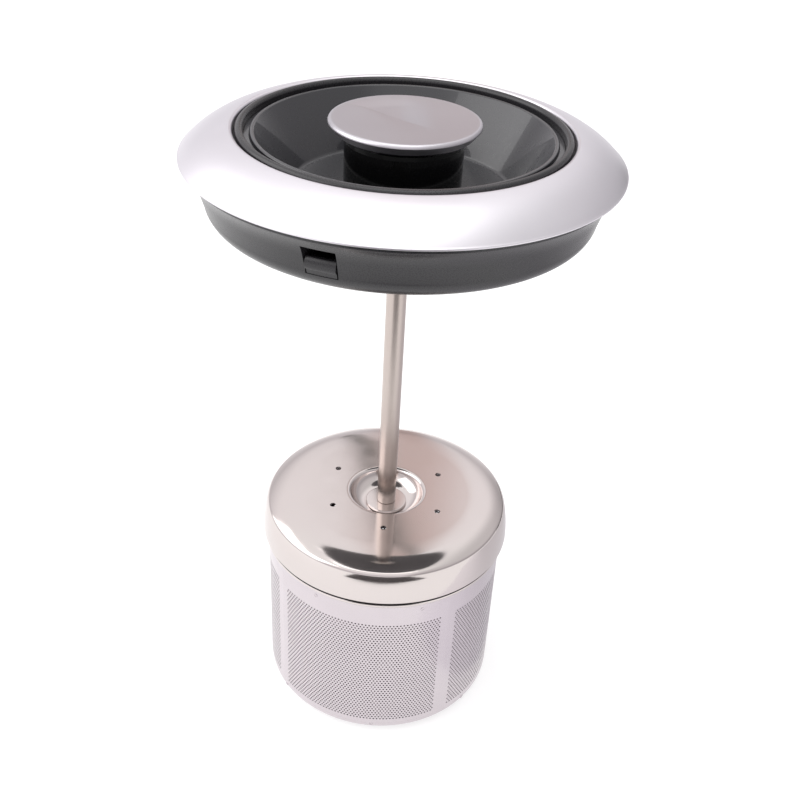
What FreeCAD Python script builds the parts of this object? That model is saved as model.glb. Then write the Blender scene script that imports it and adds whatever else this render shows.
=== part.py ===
import FreeCAD, Part
import math
import os
from collections import namedtuple

# Tea maker lid with a lifting infuser basket.  Millimetres, +Z up, the front is -Y.
# The origin is the middle of the flat underside of the basket.
#
# Three groups share one vertical axis: the lid that sits on a jug, the plunger
# (knob, rod and basket lid) that slides through it, and the basket that pulls off
# the basket lid.  Two sprung latch fingers sit in windows of the lid's skirt.

# ---- clearances and stock ---------------------------------------------------
RUNNING_FIT = 0.05      # radial play of what slides or turns on a round
SLIP_FIT = 0.10         # radial play of parts that drop into each other
BODY_GAP = 0.20         # gap between groups that move apart
SHEET = 0.50            # steel sheet of the basket and its lid
WALL = 2.00             # walls of the moulded housing

# ---- basket -----------------------------------------------------------------
WALL_RADIUS = 38.6
WALL_HEIGHT = 53.7      # plain part of the wall, from the base's corner to the rim
BASE_CORNER = 4.4
BASE_SHEET = 0.6
BASE_FLANGE = 3.4       # upstand of the base inside the wall
BEAD_PROUD = 1.3        # the rim's bead stands this proud of the wall
BEAD_HEIGHT = 1.6
NECK_HEIGHT = 7.0       # the rim's neck, up inside the basket lid
NECK_PROUD = 1.1        # the neck is this much wider than the wall
RIM_FLANGE = 6.0        # the rim's flange, down inside the wall

# ---- basket lid -------------------------------------------------------------
LID_SKIRT = 8.4         # straight skirt
LID_CORNER = 3.5        # rounded shoulder
DOME_RISE = 1.4         # from the shoulder up to the flat round the dish
DOME_FLAT_RADIUS = 21.6 # that flat, which the vents go through
DISH_RADIUS = 12.9
DISH_DEPTH = 4.7
DISH_SHOULDER = 1.6     # rounded rim of the dish: its width
DISH_SHOULDER_DROP = 1.3
DISH_FLOOR_RADIUS = 7.4
VENT_COUNT = 6
VENT_RADIUS = 0.95
VENT_CIRCLE = 19.4

# ---- rod and its fastenings -------------------------------------------------
ROD_RADIUS = 3.0
STUD_RADIUS = 2.0
STUD_LENGTH = 5.4
TAPPED_DEPTH = 10.0
ROD_WASHER_RADIUS = 6.6
WASHER_THICKNESS = 0.8
CLAMP_WASHER_RADIUS = 5.0
CAP_NUT_ACROSS_FLATS = 7.0
CAP_NUT_HEX = 3.2
CAP_NUT_DOME = 2.6
CAP_NUT_TIP = 1.2       # radius of the dome's flat tip

# ---- lid: trim ring ---------------------------------------------------------
LIFT_GAP = 98.8         # from the top of the basket lid up to the underside of the lid
RING_RADIUS = 60.0
RING_WIDTH = 14.5
RING_RISE = 7.4         # the ring's inner edge stands this much over its outer edge
RING_CROWN = 1.2        # bulge of the ring's top over a straight cone
RING_THICKNESS = 1.9    # at the inner edge
RING_EDGE = 0.6         # height of the straight outer edge

# ---- lid: housing -----------------------------------------------------------
BEAD_GAP = 0.55         # shadow gap between the ring and the housing's bead
BEAD_WIDTH = 2.2
BEAD_RISE = 0.4         # the bead stands this much above the ring's inner edge
BEAD_CROWN = 1.1        # height of the bead's rounded top
SKIRT_OVERHANG = 1.4    # the ring overhangs the housing by this
EDGE_DROP = 1.6         # the housing's straight edge ends this far below the ring's edge
FLARE_WIDTH = 3.4
FLARE_HEIGHT = 5.7
FLARE_HOLLOW = 0.43
CONE_WIDTH = 1.3
CONE_HEIGHT = 4.1
CURVE_WIDTH = 3.2
CURVE_HEIGHT = 4.6
CURVE_BULGE = 0.75
TOE_WALL = 1.2          # wall round the base plate
BASE_LEDGE = 2.0        # ledge over the base plate
BASE_THICKNESS = 2.0

# ---- lid: latch fingers -----------------------------------------------------
LATCH_ANGLE = -18.2     # turned from the front towards +X
LATCH_COUNT = 2
LATCH_FOOT = 3.6        # foot of the window above the lid's underside
LATCH_WIDTH = 8.8       # the window
LATCH_HEIGHT = 8.1
LATCH_SLOT = 0.45       # slot down each side of a finger
FINGER_HEIGHT = 4.8
FINGER_THICKNESS = 1.8
NOSE_PROUD = 1.1        # the nose stands this proud of the skirt
NOSE_HEIGHT = 2.6

# ---- lid: funnel and guide --------------------------------------------------
FUNNEL_LIP = 1.7        # groove between the bead and the funnel's lip
LIP_DROP = 1.0          # the funnel's lip below the ring's inner edge
LIP_WIDTH = 1.1
FLANGE_DROP = 2.2       # the funnel's flange below the ring's inner edge
FLANGE_THICKNESS = 1.4
FUNNEL_DEPTH = 17.0     # from the ring's inner edge down to the floor
FLOOR_RADIUS = 30.4
FUNNEL_WALL = 1.8
BUSH_WALL = 1.95
BUSH_FLANGE_WIDTH = 2.6
BUSH_FLANGE_THICKNESS = 1.2
BOSS_WALL = 4.2
GRIP_SECTION = 1.5      # square-cut rubber ring that holds the rod
NUT_ACROSS_FLATS = 15.0
NUT_HEIGHT = 3.0

# ---- knob -------------------------------------------------------------------
STEM_RADIUS = 16.2
STEM_WALL = 2.0
STEM_HEIGHT = 16.0      # from the funnel's floor up to the cap's lower edge
STEM_FLARE = 2.6        # height of the flare under the cap
FLARE_SHARE_IN = 0.45   # hollow of that flare
DECK_THICKNESS = 1.7
CAP_RADIUS = 20.7
CAP_BEVEL = 2.0         # the cap narrows by this below its edge
CAP_BEVEL_HEIGHT = 2.3
CAP_EDGE = 1.0          # height of the cap's rounded edge
CAP_EDGE_ROUND = 1.1    # width of that edge
CAP_EDGE_BULGE = 0.3    # it stands this proud of a plain bevel
CAP_DISH = 0.6          # depth of the dished top
CAP_DISH_RADIUS = 13.0  # flat middle of the dish
CAP_THICKNESS = 1.1
CAP_RIM = 1.2           # the cap's rim outside the stem's deck
HUB_RADIUS = 6.6
HUB_LIFT = 4.1          # the hub ends this much above the funnel's floor
RIB_COUNT = 6
RIB_THICKNESS = 1.4
RIB_LIFT = 7.6
KNOB_SCREW_LENGTH = 9.0
KNOB_SCREW_HEAD_RADIUS = 3.6
KNOB_SCREW_HEAD = 2.2
KNOB_SCREW_SOCKET = 2.5
KNOB_WASHER_RADIUS = 4.4
KNOB_WASHER = 0.6
HUB_BRIDGE = 1.8        # between the rod's end and the knob screw's washer

# ---- facets -----------------------------------------------------------------
# A round stretch is turned as a few cones, because every torus costs thousands of facets.
CROWN_STEPS = 3
CORNER_STEPS = 2

# ---- heights that follow from the sizes above -------------------------------
WALL_TOP_Z = BASE_CORNER + WALL_HEIGHT
BEAD_TOP_Z = WALL_TOP_Z + BEAD_HEIGHT
LID_EDGE_Z = BEAD_TOP_Z + BODY_GAP
SHOULDER_Z = LID_EDGE_Z + LID_SKIRT
DOME_EDGE_Z = SHOULDER_Z + LID_CORNER
BASKET_TOP_Z = DOME_EDGE_Z + DOME_RISE
DISH_FLOOR_Z = BASKET_TOP_Z - DISH_DEPTH
ROD_FOOT_Z = DISH_FLOOR_Z + WASHER_THICKNESS
CLAMP_Z = DISH_FLOOR_Z - SHEET
CAP_NUT_Z = CLAMP_Z - WASHER_THICKNESS

UNDERSIDE_Z = BASKET_TOP_Z + LIFT_GAP
BASE_TOP_Z = UNDERSIDE_Z + BASE_THICKNESS
RING_EDGE_Z = UNDERSIDE_Z + CURVE_HEIGHT + CONE_HEIGHT + FLARE_HEIGHT + EDGE_DROP
RING_TOP_Z = RING_EDGE_Z + RING_RISE
FLANGE_TOP_Z = RING_TOP_Z - FLANGE_DROP
FUNNEL_SEAT_Z = FLANGE_TOP_Z - FLANGE_THICKNESS
FLOOR_Z = RING_TOP_Z - FUNNEL_DEPTH
FLOOR_UNDERSIDE_Z = FLOOR_Z - FUNNEL_WALL
NUT_FOOT_Z = UNDERSIDE_Z - NUT_HEIGHT
GRIP_Z = (BASE_TOP_Z + FLOOR_Z) / 2

CAP_FOOT_Z = FLOOR_Z + STEM_HEIGHT
CAP_EDGE_Z = CAP_FOOT_Z + CAP_BEVEL_HEIGHT
CAP_TOP_Z = CAP_EDGE_Z + CAP_EDGE
DECK_Z = CAP_TOP_Z - CAP_DISH - CAP_THICKNESS
KNOB_SEAT_Z = DECK_Z - KNOB_WASHER - KNOB_SCREW_HEAD - BODY_GAP
ROD_TOP_Z = KNOB_SEAT_Z - HUB_BRIDGE

# ---- radii that follow ------------------------------------------------------
WALL_INNER = WALL_RADIUS - SHEET
RIM_FLANGE_RADIUS = WALL_INNER - RUNNING_FIT
NECK_RADIUS = WALL_RADIUS + NECK_PROUD
LID_RADIUS = NECK_RADIUS + SLIP_FIT + SHEET

RING_INNER = RING_RADIUS - RING_WIDTH
BEAD_OUTER = RING_INNER - BEAD_GAP
BEAD_INNER = BEAD_OUTER - BEAD_WIDTH
FUNNEL_RADIUS = BEAD_INNER - FUNNEL_LIP
LEDGE_RADIUS = FUNNEL_RADIUS - LIP_WIDTH / 2
HOUSING_RADIUS = RING_RADIUS - SKIRT_OVERHANG
NECK_OF_SKIRT = HOUSING_RADIUS - FLARE_WIDTH
SHOULDER_OF_SKIRT = NECK_OF_SKIRT - CONE_WIDTH
TOE_RADIUS = SHOULDER_OF_SKIRT - CURVE_WIDTH
REBATE_RADIUS = TOE_RADIUS - TOE_WALL

BUSH_BORE = ROD_RADIUS + RUNNING_FIT
BUSH_RADIUS = BUSH_BORE + BUSH_WALL
BUSH_HOLE = BUSH_RADIUS + RUNNING_FIT
STUD_HOLE = STUD_RADIUS + SLIP_FIT
DECK_RADIUS = CAP_RADIUS - CAP_BEVEL - CAP_RIM

Bow = namedtuple("Bow", "end height steps")


# ---- helpers ----------------------------------------------------------------
def vector(point):
    """A point (r, z) of the half plane as a vector in the XZ plane."""
    return FreeCAD.Vector(point[0], 0, point[1])


def bow_points(start, bow):
    """Points along an arc after its start, one for each of its steps."""
    first = vector(start)
    last = vector(bow.end)
    along = last - first
    across = FreeCAD.Vector(-along.z, 0, along.x).normalize()
    middle = (first + last) * 0.5 + across * bow.height
    curve = Part.Arc(first, middle, last)
    return curve.discretize(Number=bow.steps + 1)[1:]


def outline(start, *runs):
    """A closed line in the r-z half plane.

    A run is the (r, z) of its end for a straight one, or a Bow: an arc to its end
    that stands off the straight line by its height, to the left of the way.
    """
    points = [vector(start)]
    here = start
    for run in runs:
        if isinstance(run, Bow):
            points += bow_points(here, run)
            here = run.end
        else:
            points.append(vector(run))
            here = run
    return Part.makePolygon(points + [points[0]])


def turned(start, *runs, degrees=360.0):
    """A solid turned about the Z axis from an outline."""
    face = Part.Face(outline(start, *runs))
    return face.revolve(FreeCAD.Vector(0, 0, 0), FreeCAD.Vector(0, 0, 1), degrees)


def tube(inner, outer, bottom, top):
    """A plain ring between two radii and two heights."""
    return turned((inner, bottom), (outer, bottom), (outer, top), (inner, top))


def upright(radius, bottom, top, out=0.0):
    """An upright cylinder between two heights, its axis out along +X."""
    return Part.makeCylinder(radius, top - bottom, FreeCAD.Vector(out, 0, bottom))


def hexagon(across_flats, bottom, top):
    """An upright hexagonal prism on the axis."""
    corner = across_flats / 2 / math.cos(math.radians(30))
    points = []
    for step in range(7):
        angle = math.radians(60 * step)
        points.append(FreeCAD.Vector(corner * math.cos(angle), corner * math.sin(angle), bottom))
    face = Part.Face(Part.makePolygon(points))
    return face.extrude(FreeCAD.Vector(0, 0, top - bottom))


def turned_copy(shape, degrees):
    """A copy of a shape, turned about the Z axis."""
    copy = shape.copy()
    copy.rotate(FreeCAD.Vector(0, 0, 0), FreeCAD.Vector(0, 0, 1), degrees)
    return copy


def ring_of(shape, count, first=0.0):
    """Copies of a shape, evenly spaced round the Z axis."""
    return [turned_copy(shape, first + 360.0 * i / count) for i in range(count)]


# ---- lid --------------------------------------------------------------------
def seat_z(radius):
    """Height of the seat between ring and housing at a radius."""
    inner_z = RING_TOP_Z - RING_THICKNESS
    outer_z = RING_EDGE_Z - RING_EDGE / 2
    return inner_z + (outer_z - inner_z) * (radius - RING_INNER) / RING_WIDTH


def skirt_radius(z):
    """Outside of the skirt's cone at a height."""
    foot = UNDERSIDE_Z + CURVE_HEIGHT
    return SHOULDER_OF_SKIRT + CONE_WIDTH * (z - foot) / CONE_HEIGHT


def trim_ring():
    """Satin ring: crowned top, thin outer edge, conical seat."""
    return turned(
        (RING_RADIUS, seat_z(RING_RADIUS)),
        (RING_RADIUS, RING_EDGE_Z + RING_EDGE / 2),
        Bow((RING_INNER, RING_TOP_Z), -RING_CROWN, CROWN_STEPS),
        (RING_INNER, seat_z(RING_INNER)),
    )


def housing_shell():
    """The housing's section: skirt, roof under the ring, and the bead inside it."""
    edge_z = RING_EDGE_Z - EDGE_DROP
    neck_z = edge_z - FLARE_HEIGHT
    shoulder_z = neck_z - CONE_HEIGHT
    roof = NECK_OF_SKIRT - WALL
    roof_z = seat_z(roof) - WALL
    bead_side_z = RING_TOP_Z + BEAD_RISE - BEAD_CROWN
    return turned(
        (HOUSING_RADIUS, seat_z(HOUSING_RADIUS)),
        (HOUSING_RADIUS, edge_z),
        Bow((NECK_OF_SKIRT, neck_z), -FLARE_HOLLOW, CORNER_STEPS),
        (SHOULDER_OF_SKIRT, shoulder_z),
        Bow((TOE_RADIUS, UNDERSIDE_Z), CURVE_BULGE, CORNER_STEPS),
        (REBATE_RADIUS, UNDERSIDE_Z),
        (REBATE_RADIUS, BASE_TOP_Z),
        (REBATE_RADIUS - BASE_LEDGE, BASE_TOP_Z),
        (roof, roof_z),
        (LEDGE_RADIUS, roof_z),
        (LEDGE_RADIUS, FUNNEL_SEAT_Z),
        (BEAD_INNER, FUNNEL_SEAT_Z),
        (BEAD_INNER, bead_side_z),
        Bow((BEAD_OUTER, bead_side_z), BEAD_CROWN, CROWN_STEPS),
        (BEAD_OUTER, seat_z(BEAD_OUTER)),
    )


def half_angle(width):
    """Half the angle that a width takes round the skirt."""
    return math.degrees(width / 2 / SHOULDER_OF_SKIRT)


def facing_front(shape, half):
    """A shape turned through twice an angle from +X, moved to face the front."""
    return turned_copy(shape, -90.0 - half)


def latch_places():
    """Turns from the front to each latch."""
    return [LATCH_ANGLE + 360.0 * i / LATCH_COUNT for i in range(LATCH_COUNT)]


def latch_window():
    """The window that a latch finger moves in, at the front."""
    inner = SHOULDER_OF_SKIRT - 2.5 * WALL
    bottom = UNDERSIDE_Z + LATCH_FOOT
    top = bottom + LATCH_HEIGHT
    half = half_angle(LATCH_WIDTH)
    block = turned(
        (inner, bottom), (RING_RADIUS, bottom), (RING_RADIUS, top), (inner, top), degrees=2 * half
    )
    return facing_front(block, half)


def latch_finger():
    """A finger with a rounded nose on its outside, at the front."""
    root_z = UNDERSIDE_Z + LATCH_FOOT + BODY_GAP
    top_z = UNDERSIDE_Z + LATCH_FOOT + FINGER_HEIGHT
    nose_z = top_z - NOSE_HEIGHT
    half = half_angle(LATCH_WIDTH - 2 * LATCH_SLOT)
    finger = turned(
        (skirt_radius(root_z) - FINGER_THICKNESS, root_z),
        (skirt_radius(root_z), root_z),
        (skirt_radius(nose_z), nose_z),
        Bow((skirt_radius(top_z) - FINGER_THICKNESS / 2, top_z), -NOSE_PROUD, CROWN_STEPS),
        (skirt_radius(top_z) - FINGER_THICKNESS, top_z),
        degrees=2 * half,
    )
    return facing_front(finger, half)


def lid_housing():
    """Dark moulded housing with its latch windows."""
    return housing_shell().cut([turned_copy(latch_window(), place) for place in latch_places()])


def funnel_bowl():
    """Gloss funnel round the knob, with its flange, lip, floor and guide boss."""
    lip_z = RING_TOP_Z - LIP_DROP
    seat = BEAD_INNER - SLIP_FIT
    spigot = LEDGE_RADIUS - SLIP_FIT
    boss = BUSH_HOLE + BOSS_WALL
    return turned(
        (BUSH_HOLE, FLOOR_Z),
        (FLOOR_RADIUS, FLOOR_Z),
        (FUNNEL_RADIUS - LIP_WIDTH, lip_z),
        (FUNNEL_RADIUS, lip_z),
        (FUNNEL_RADIUS, FLANGE_TOP_Z),
        (seat, FLANGE_TOP_Z),
        (seat, FUNNEL_SEAT_Z),
        (spigot, FUNNEL_SEAT_Z),
        (FLOOR_RADIUS + FUNNEL_WALL / 2, FLOOR_UNDERSIDE_Z),
        (boss, FLOOR_UNDERSIDE_Z),
        (boss, BASE_TOP_Z),
        (BUSH_HOLE, BASE_TOP_Z),
    )


def lid_base():
    """The plate that closes the lid from below."""
    return tube(BUSH_HOLE, REBATE_RADIUS - SLIP_FIT, UNDERSIDE_Z, BASE_TOP_Z)


def rod_bush():
    """The flanged bush that guides the rod, grooved for its rubber ring."""
    groove = BUSH_BORE + GRIP_SECTION + RUNNING_FIT
    half = GRIP_SECTION / 2 + RUNNING_FIT
    flange = BUSH_RADIUS + BUSH_FLANGE_WIDTH
    flange_z = FLOOR_Z + BUSH_FLANGE_THICKNESS
    return turned(
        (BUSH_BORE, NUT_FOOT_Z),
        (BUSH_RADIUS, NUT_FOOT_Z),
        (BUSH_RADIUS, FLOOR_Z),
        (flange, FLOOR_Z),
        (flange, flange_z),
        (BUSH_BORE, flange_z),
        (BUSH_BORE, GRIP_Z + half),
        (groove, GRIP_Z + half),
        (groove, GRIP_Z - half),
        (BUSH_BORE, GRIP_Z - half),
    )


def grip_ring():
    """The square-cut rubber ring that holds the rod at any height."""
    half = GRIP_SECTION / 2
    return tube(BUSH_BORE, BUSH_BORE + GRIP_SECTION, GRIP_Z - half, GRIP_Z + half)


def bush_nut():
    """The nut that clamps bush, funnel and base plate together."""
    nut = hexagon(NUT_ACROSS_FLATS, NUT_FOOT_Z, UNDERSIDE_Z)
    return nut.cut(upright(BUSH_HOLE, NUT_FOOT_Z, UNDERSIDE_Z))


# ---- plunger ----------------------------------------------------------------
def knob_cap():
    """Satin cap: dished top, bright rounded edge, bevel below."""
    rim = DECK_RADIUS + SLIP_FIT
    edge = CAP_RADIUS - CAP_EDGE_ROUND
    return turned(
        (0.0, DECK_Z),
        (0.0, CAP_TOP_Z - CAP_DISH),
        (CAP_DISH_RADIUS, CAP_TOP_Z - CAP_DISH),
        (edge, CAP_TOP_Z),
        Bow((CAP_RADIUS, CAP_EDGE_Z), CAP_EDGE_BULGE, CORNER_STEPS),
        (CAP_RADIUS - CAP_BEVEL, CAP_FOOT_Z),
        (rim, CAP_FOOT_Z),
        (rim, DECK_Z),
    )


def stem_shell():
    """The stem's wall, flare and deck."""
    neck = CAP_RADIUS - CAP_BEVEL - SLIP_FIT
    flare = neck - STEM_RADIUS
    inner = STEM_RADIUS - STEM_WALL
    return turned(
        (0.0, DECK_Z - DECK_THICKNESS),
        (inner, DECK_Z - DECK_THICKNESS),
        (inner, FLOOR_Z),
        (STEM_RADIUS, FLOOR_Z),
        (STEM_RADIUS, CAP_FOOT_Z - STEM_FLARE),
        (STEM_RADIUS + flare * FLARE_SHARE_IN / 2, CAP_FOOT_Z - STEM_FLARE / 2),
        (neck, CAP_FOOT_Z),
        (DECK_RADIUS, CAP_FOOT_Z),
        (DECK_RADIUS, DECK_Z),
        (0.0, DECK_Z),
    )


def stem_rib():
    """A rib between the hub and the stem's wall, on +X."""
    length = STEM_RADIUS - STEM_WALL / 2
    foot = FLOOR_Z + RIB_LIFT
    rib = Part.makeBox(length, RIB_THICKNESS, DECK_Z - DECK_THICKNESS / 2 - foot)
    rib.translate(FreeCAD.Vector(0, -RIB_THICKNESS / 2, foot))
    return rib


def knob_stem():
    """Gloss black stem: hollow, with a ribbed hub for the rod."""
    hub_foot = FLOOR_Z + HUB_LIFT
    hub = upright(HUB_RADIUS, hub_foot, DECK_Z)
    ribs = ring_of(stem_rib(), RIB_COUNT, 180.0 / RIB_COUNT)
    stem = stem_shell().fuse([hub] + ribs).removeSplitter()
    rod_socket = upright(ROD_RADIUS + RUNNING_FIT, hub_foot, ROD_TOP_Z)
    screw_hole = upright(STUD_HOLE, hub_foot, DECK_Z)
    screw_well = upright(KNOB_WASHER_RADIUS + SLIP_FIT, KNOB_SEAT_Z, DECK_Z)
    return stem.cut([rod_socket, screw_hole, screw_well])


def knob_washer():
    """The washer under the knob screw's head."""
    return tube(STUD_HOLE, KNOB_WASHER_RADIUS, KNOB_SEAT_Z, KNOB_SEAT_Z + KNOB_WASHER)


def knob_screw():
    """The socket-head screw that holds the knob on the rod."""
    seat = KNOB_SEAT_Z + KNOB_WASHER
    head = seat + KNOB_SCREW_HEAD
    shank = STUD_RADIUS - RUNNING_FIT
    screw = turned(
        (0.0, seat - KNOB_SCREW_LENGTH),
        (shank, seat - KNOB_SCREW_LENGTH),
        (shank, seat),
        (KNOB_SCREW_HEAD_RADIUS, seat),
        (KNOB_SCREW_HEAD_RADIUS, head),
        (0.0, head),
    )
    return screw.cut(hexagon(KNOB_SCREW_SOCKET, seat + KNOB_SCREW_HEAD / 3, head))


def lift_rod():
    """Stainless rod, tapped at the top and shouldered to a stud at the bottom."""
    tip = ROD_FOOT_Z - STUD_LENGTH
    rod = turned(
        (0.0, tip),
        (STUD_RADIUS, tip),
        (STUD_RADIUS, ROD_FOOT_Z),
        (ROD_RADIUS, ROD_FOOT_Z),
        (ROD_RADIUS, ROD_TOP_Z),
        (0.0, ROD_TOP_Z),
    )
    return rod.cut(upright(STUD_RADIUS, ROD_TOP_Z - TAPPED_DEPTH, ROD_TOP_Z))


def rod_washer():
    """The crisp flat washer between the rod's shoulder and the basket lid."""
    return tube(STUD_HOLE, ROD_WASHER_RADIUS, DISH_FLOOR_Z, ROD_FOOT_Z)


def basket_lid():
    """Pressed lid of the basket: dish, low dome, rounded shoulder, short skirt."""
    bulge = (1 - math.sqrt(0.5)) * LID_CORNER
    inner_bulge = (1 - math.sqrt(0.5)) * (LID_CORNER - SHEET)
    dome_edge = LID_RADIUS - LID_CORNER
    lip = DISH_RADIUS - DISH_SHOULDER
    lip_z = BASKET_TOP_Z - DISH_SHOULDER_DROP
    lid = turned(
        (STUD_HOLE, DISH_FLOOR_Z),
        (DISH_FLOOR_RADIUS, DISH_FLOOR_Z),
        (lip, lip_z),
        (DISH_RADIUS, BASKET_TOP_Z),
        (DOME_FLAT_RADIUS, BASKET_TOP_Z),
        (dome_edge, DOME_EDGE_Z),
        Bow((LID_RADIUS, SHOULDER_Z), bulge, CROWN_STEPS),
        (LID_RADIUS, LID_EDGE_Z),
        (LID_RADIUS - SHEET, LID_EDGE_Z),
        (LID_RADIUS - SHEET, SHOULDER_Z),
        Bow((dome_edge, DOME_EDGE_Z - SHEET), -inner_bulge, CORNER_STEPS),
        (DOME_FLAT_RADIUS, BASKET_TOP_Z - SHEET),
        (DISH_RADIUS, BASKET_TOP_Z - SHEET),
        (DISH_FLOOR_RADIUS + SHEET / 2, CLAMP_Z),
        (STUD_HOLE, CLAMP_Z),
    )
    vent = upright(VENT_RADIUS, BASKET_TOP_Z - SHEET, BASKET_TOP_Z, VENT_CIRCLE)
    return lid.cut(ring_of(vent, VENT_COUNT, -90.0))


def clamp_washer():
    """The washer below the basket lid."""
    return tube(STUD_HOLE, CLAMP_WASHER_RADIUS, CAP_NUT_Z, CLAMP_Z)


def cap_nut():
    """The domed nut on the rod's stud."""
    hex_foot = CAP_NUT_Z - CAP_NUT_HEX
    dome_z = hex_foot - CAP_NUT_DOME
    dome = turned(
        (0.0, hex_foot),
        (0.0, dome_z),
        (CAP_NUT_TIP, dome_z),
        Bow((CAP_NUT_DOME, hex_foot), -CAP_NUT_TIP / 2, CORNER_STEPS),
    )
    nut = hexagon(CAP_NUT_ACROSS_FLATS, hex_foot, CAP_NUT_Z).fuse(dome)
    bore_z = ROD_FOOT_Z - STUD_LENGTH - BODY_GAP
    return nut.cut(upright(STUD_RADIUS + RUNNING_FIT, bore_z, CAP_NUT_Z))


# ---- basket -----------------------------------------------------------------
def basket_rim():
    """The basket's rim: neck inside the lid, rolled bead, flange inside the wall."""
    flange = RIM_FLANGE_RADIUS
    bead = WALL_RADIUS + BEAD_PROUD
    bead_z = (WALL_TOP_Z + BEAD_TOP_Z) / 2
    return turned(
        (flange - SHEET, WALL_TOP_Z - RIM_FLANGE),
        (flange, WALL_TOP_Z - RIM_FLANGE),
        (flange, WALL_TOP_Z),
        (WALL_RADIUS, WALL_TOP_Z),
        (bead, bead_z),
        (NECK_RADIUS, BEAD_TOP_Z),
        (NECK_RADIUS, BEAD_TOP_Z + NECK_HEIGHT),
        (NECK_RADIUS - SHEET, BEAD_TOP_Z + NECK_HEIGHT),
        (NECK_RADIUS - SHEET, WALL_TOP_Z + SHEET),
        (flange - SHEET, WALL_TOP_Z + SHEET),
    )


def basket_wall():
    """The basket's rolled sheet wall."""
    return tube(WALL_INNER, WALL_RADIUS, BASE_CORNER, WALL_TOP_Z)


def basket_base():
    """The pressed base with its rounded corner and an upstand inside the wall."""
    bulge = (1 - math.sqrt(0.5)) * BASE_CORNER
    flat = WALL_RADIUS - BASE_CORNER
    flange = RIM_FLANGE_RADIUS
    inner = flange - BASE_SHEET
    return turned(
        (0.0, 0.0),
        (flat, 0.0),
        Bow((WALL_RADIUS, BASE_CORNER), -bulge, CORNER_STEPS),
        (flange, BASE_CORNER),
        (flange, BASE_CORNER + BASE_FLANGE),
        (inner, BASE_CORNER + BASE_FLANGE),
        (inner, BASE_CORNER),
        (flat, BASE_SHEET),
        (0.0, BASE_SHEET),
    )


# ---- build ------------------------------------------------------------------
def pieces():
    """Every node's name and shape."""
    shapes = {
        "trim_ring": trim_ring(),
        "lid_housing": lid_housing(),
        "funnel_bowl": funnel_bowl(),
        "lid_base": lid_base(),
        "rod_bush": rod_bush(),
        "grip_ring": grip_ring(),
        "bush_nut": bush_nut(),
        "knob_cap": knob_cap(),
        "knob_stem": knob_stem(),
        "knob_washer": knob_washer(),
        "knob_screw": knob_screw(),
        "lift_rod": lift_rod(),
        "rod_washer": rod_washer(),
        "basket_lid": basket_lid(),
        "clamp_washer": clamp_washer(),
        "cap_nut": cap_nut(),
        "basket_rim": basket_rim(),
        "basket_wall": basket_wall(),
        "basket_base": basket_base(),
    }
    for name, place in zip(("latch_front", "latch_rear"), latch_places()):
        shapes[name] = turned_copy(latch_finger(), place)
    return shapes


def main():
    os.makedirs("parts", exist_ok=True)
    for name, shape in pieces().items():
        if not shape.isValid():
            print(name, "is not valid")
        shape.exportStep("parts/" + name + ".step")


main()
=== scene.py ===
"""Looks of a tea maker's jug lid with its lifting infuser basket.

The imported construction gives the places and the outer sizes.  This file makes the smooth
and finely detailed forms on it, their finishes, and the studio round them.
Lengths are millimetres, angles are degrees and heights count from the basket's underside,
unless a name or a docstring says otherwise.  The front is -Y.
"""

from __future__ import annotations

import logging
import math
from collections.abc import Sequence
from dataclasses import dataclass
from enum import Enum

import bmesh
import bpy
from mathutils import Matrix, Vector

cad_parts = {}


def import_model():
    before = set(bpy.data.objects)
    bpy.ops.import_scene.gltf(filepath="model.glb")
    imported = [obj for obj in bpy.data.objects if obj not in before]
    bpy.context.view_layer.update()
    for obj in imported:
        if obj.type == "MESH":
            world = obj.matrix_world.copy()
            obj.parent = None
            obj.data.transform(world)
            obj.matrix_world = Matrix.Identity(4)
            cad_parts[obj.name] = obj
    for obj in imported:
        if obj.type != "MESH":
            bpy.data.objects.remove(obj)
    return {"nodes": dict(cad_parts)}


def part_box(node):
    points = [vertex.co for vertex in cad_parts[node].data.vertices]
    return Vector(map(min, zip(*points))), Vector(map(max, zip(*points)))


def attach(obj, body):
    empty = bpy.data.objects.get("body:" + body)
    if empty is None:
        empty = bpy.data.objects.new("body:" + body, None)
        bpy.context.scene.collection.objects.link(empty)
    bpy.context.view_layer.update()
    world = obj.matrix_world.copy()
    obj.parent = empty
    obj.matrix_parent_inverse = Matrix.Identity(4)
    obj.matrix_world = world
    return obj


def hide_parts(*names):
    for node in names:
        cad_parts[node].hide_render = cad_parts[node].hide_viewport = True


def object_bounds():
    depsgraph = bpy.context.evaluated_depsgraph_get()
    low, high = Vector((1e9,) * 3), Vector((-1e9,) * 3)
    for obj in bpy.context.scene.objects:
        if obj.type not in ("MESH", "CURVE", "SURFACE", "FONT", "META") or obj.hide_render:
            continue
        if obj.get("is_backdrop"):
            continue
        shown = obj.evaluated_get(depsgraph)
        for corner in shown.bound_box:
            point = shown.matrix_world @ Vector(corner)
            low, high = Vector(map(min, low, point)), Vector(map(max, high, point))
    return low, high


MM = 0.001
SEGMENTS = 192          # facets round a turned piece
FINE_SEGMENTS = 96      # facets round a small turned piece
WIDE_SEGMENTS = 256     # facets round the widest turned pieces
CAP_SEGMENTS = 360      # facets round the knob's cap, fine enough for its crease
FILLET_STEP = 12.0      # turn of each facet of a rounded corner
ROUNDING_ROOM = 0.48    # share of a side that one rounded corner may take
SHARP_ANGLE = 32.0      # edges that turn by more than this stay crisp
WELD = 1e-7             # metres, points nearer than this are one
SEAM = 1e-6             # metres, the same for the points where parts of a sheet meet
ON_AXIS = 1e-6          # a radius smaller than this is on the axis
TOUCH = 0.01            # heights nearer than this count as one

log = logging.getLogger("tea_maker")


class Body(Enum):
    """The rigid groups that pieces ride on."""

    LID = "lid"
    PLUNGER = "plunger"
    BASKET = "basket"
    LATCH_FRONT = "latch_front"
    LATCH_REAR = "latch_rear"


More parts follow.
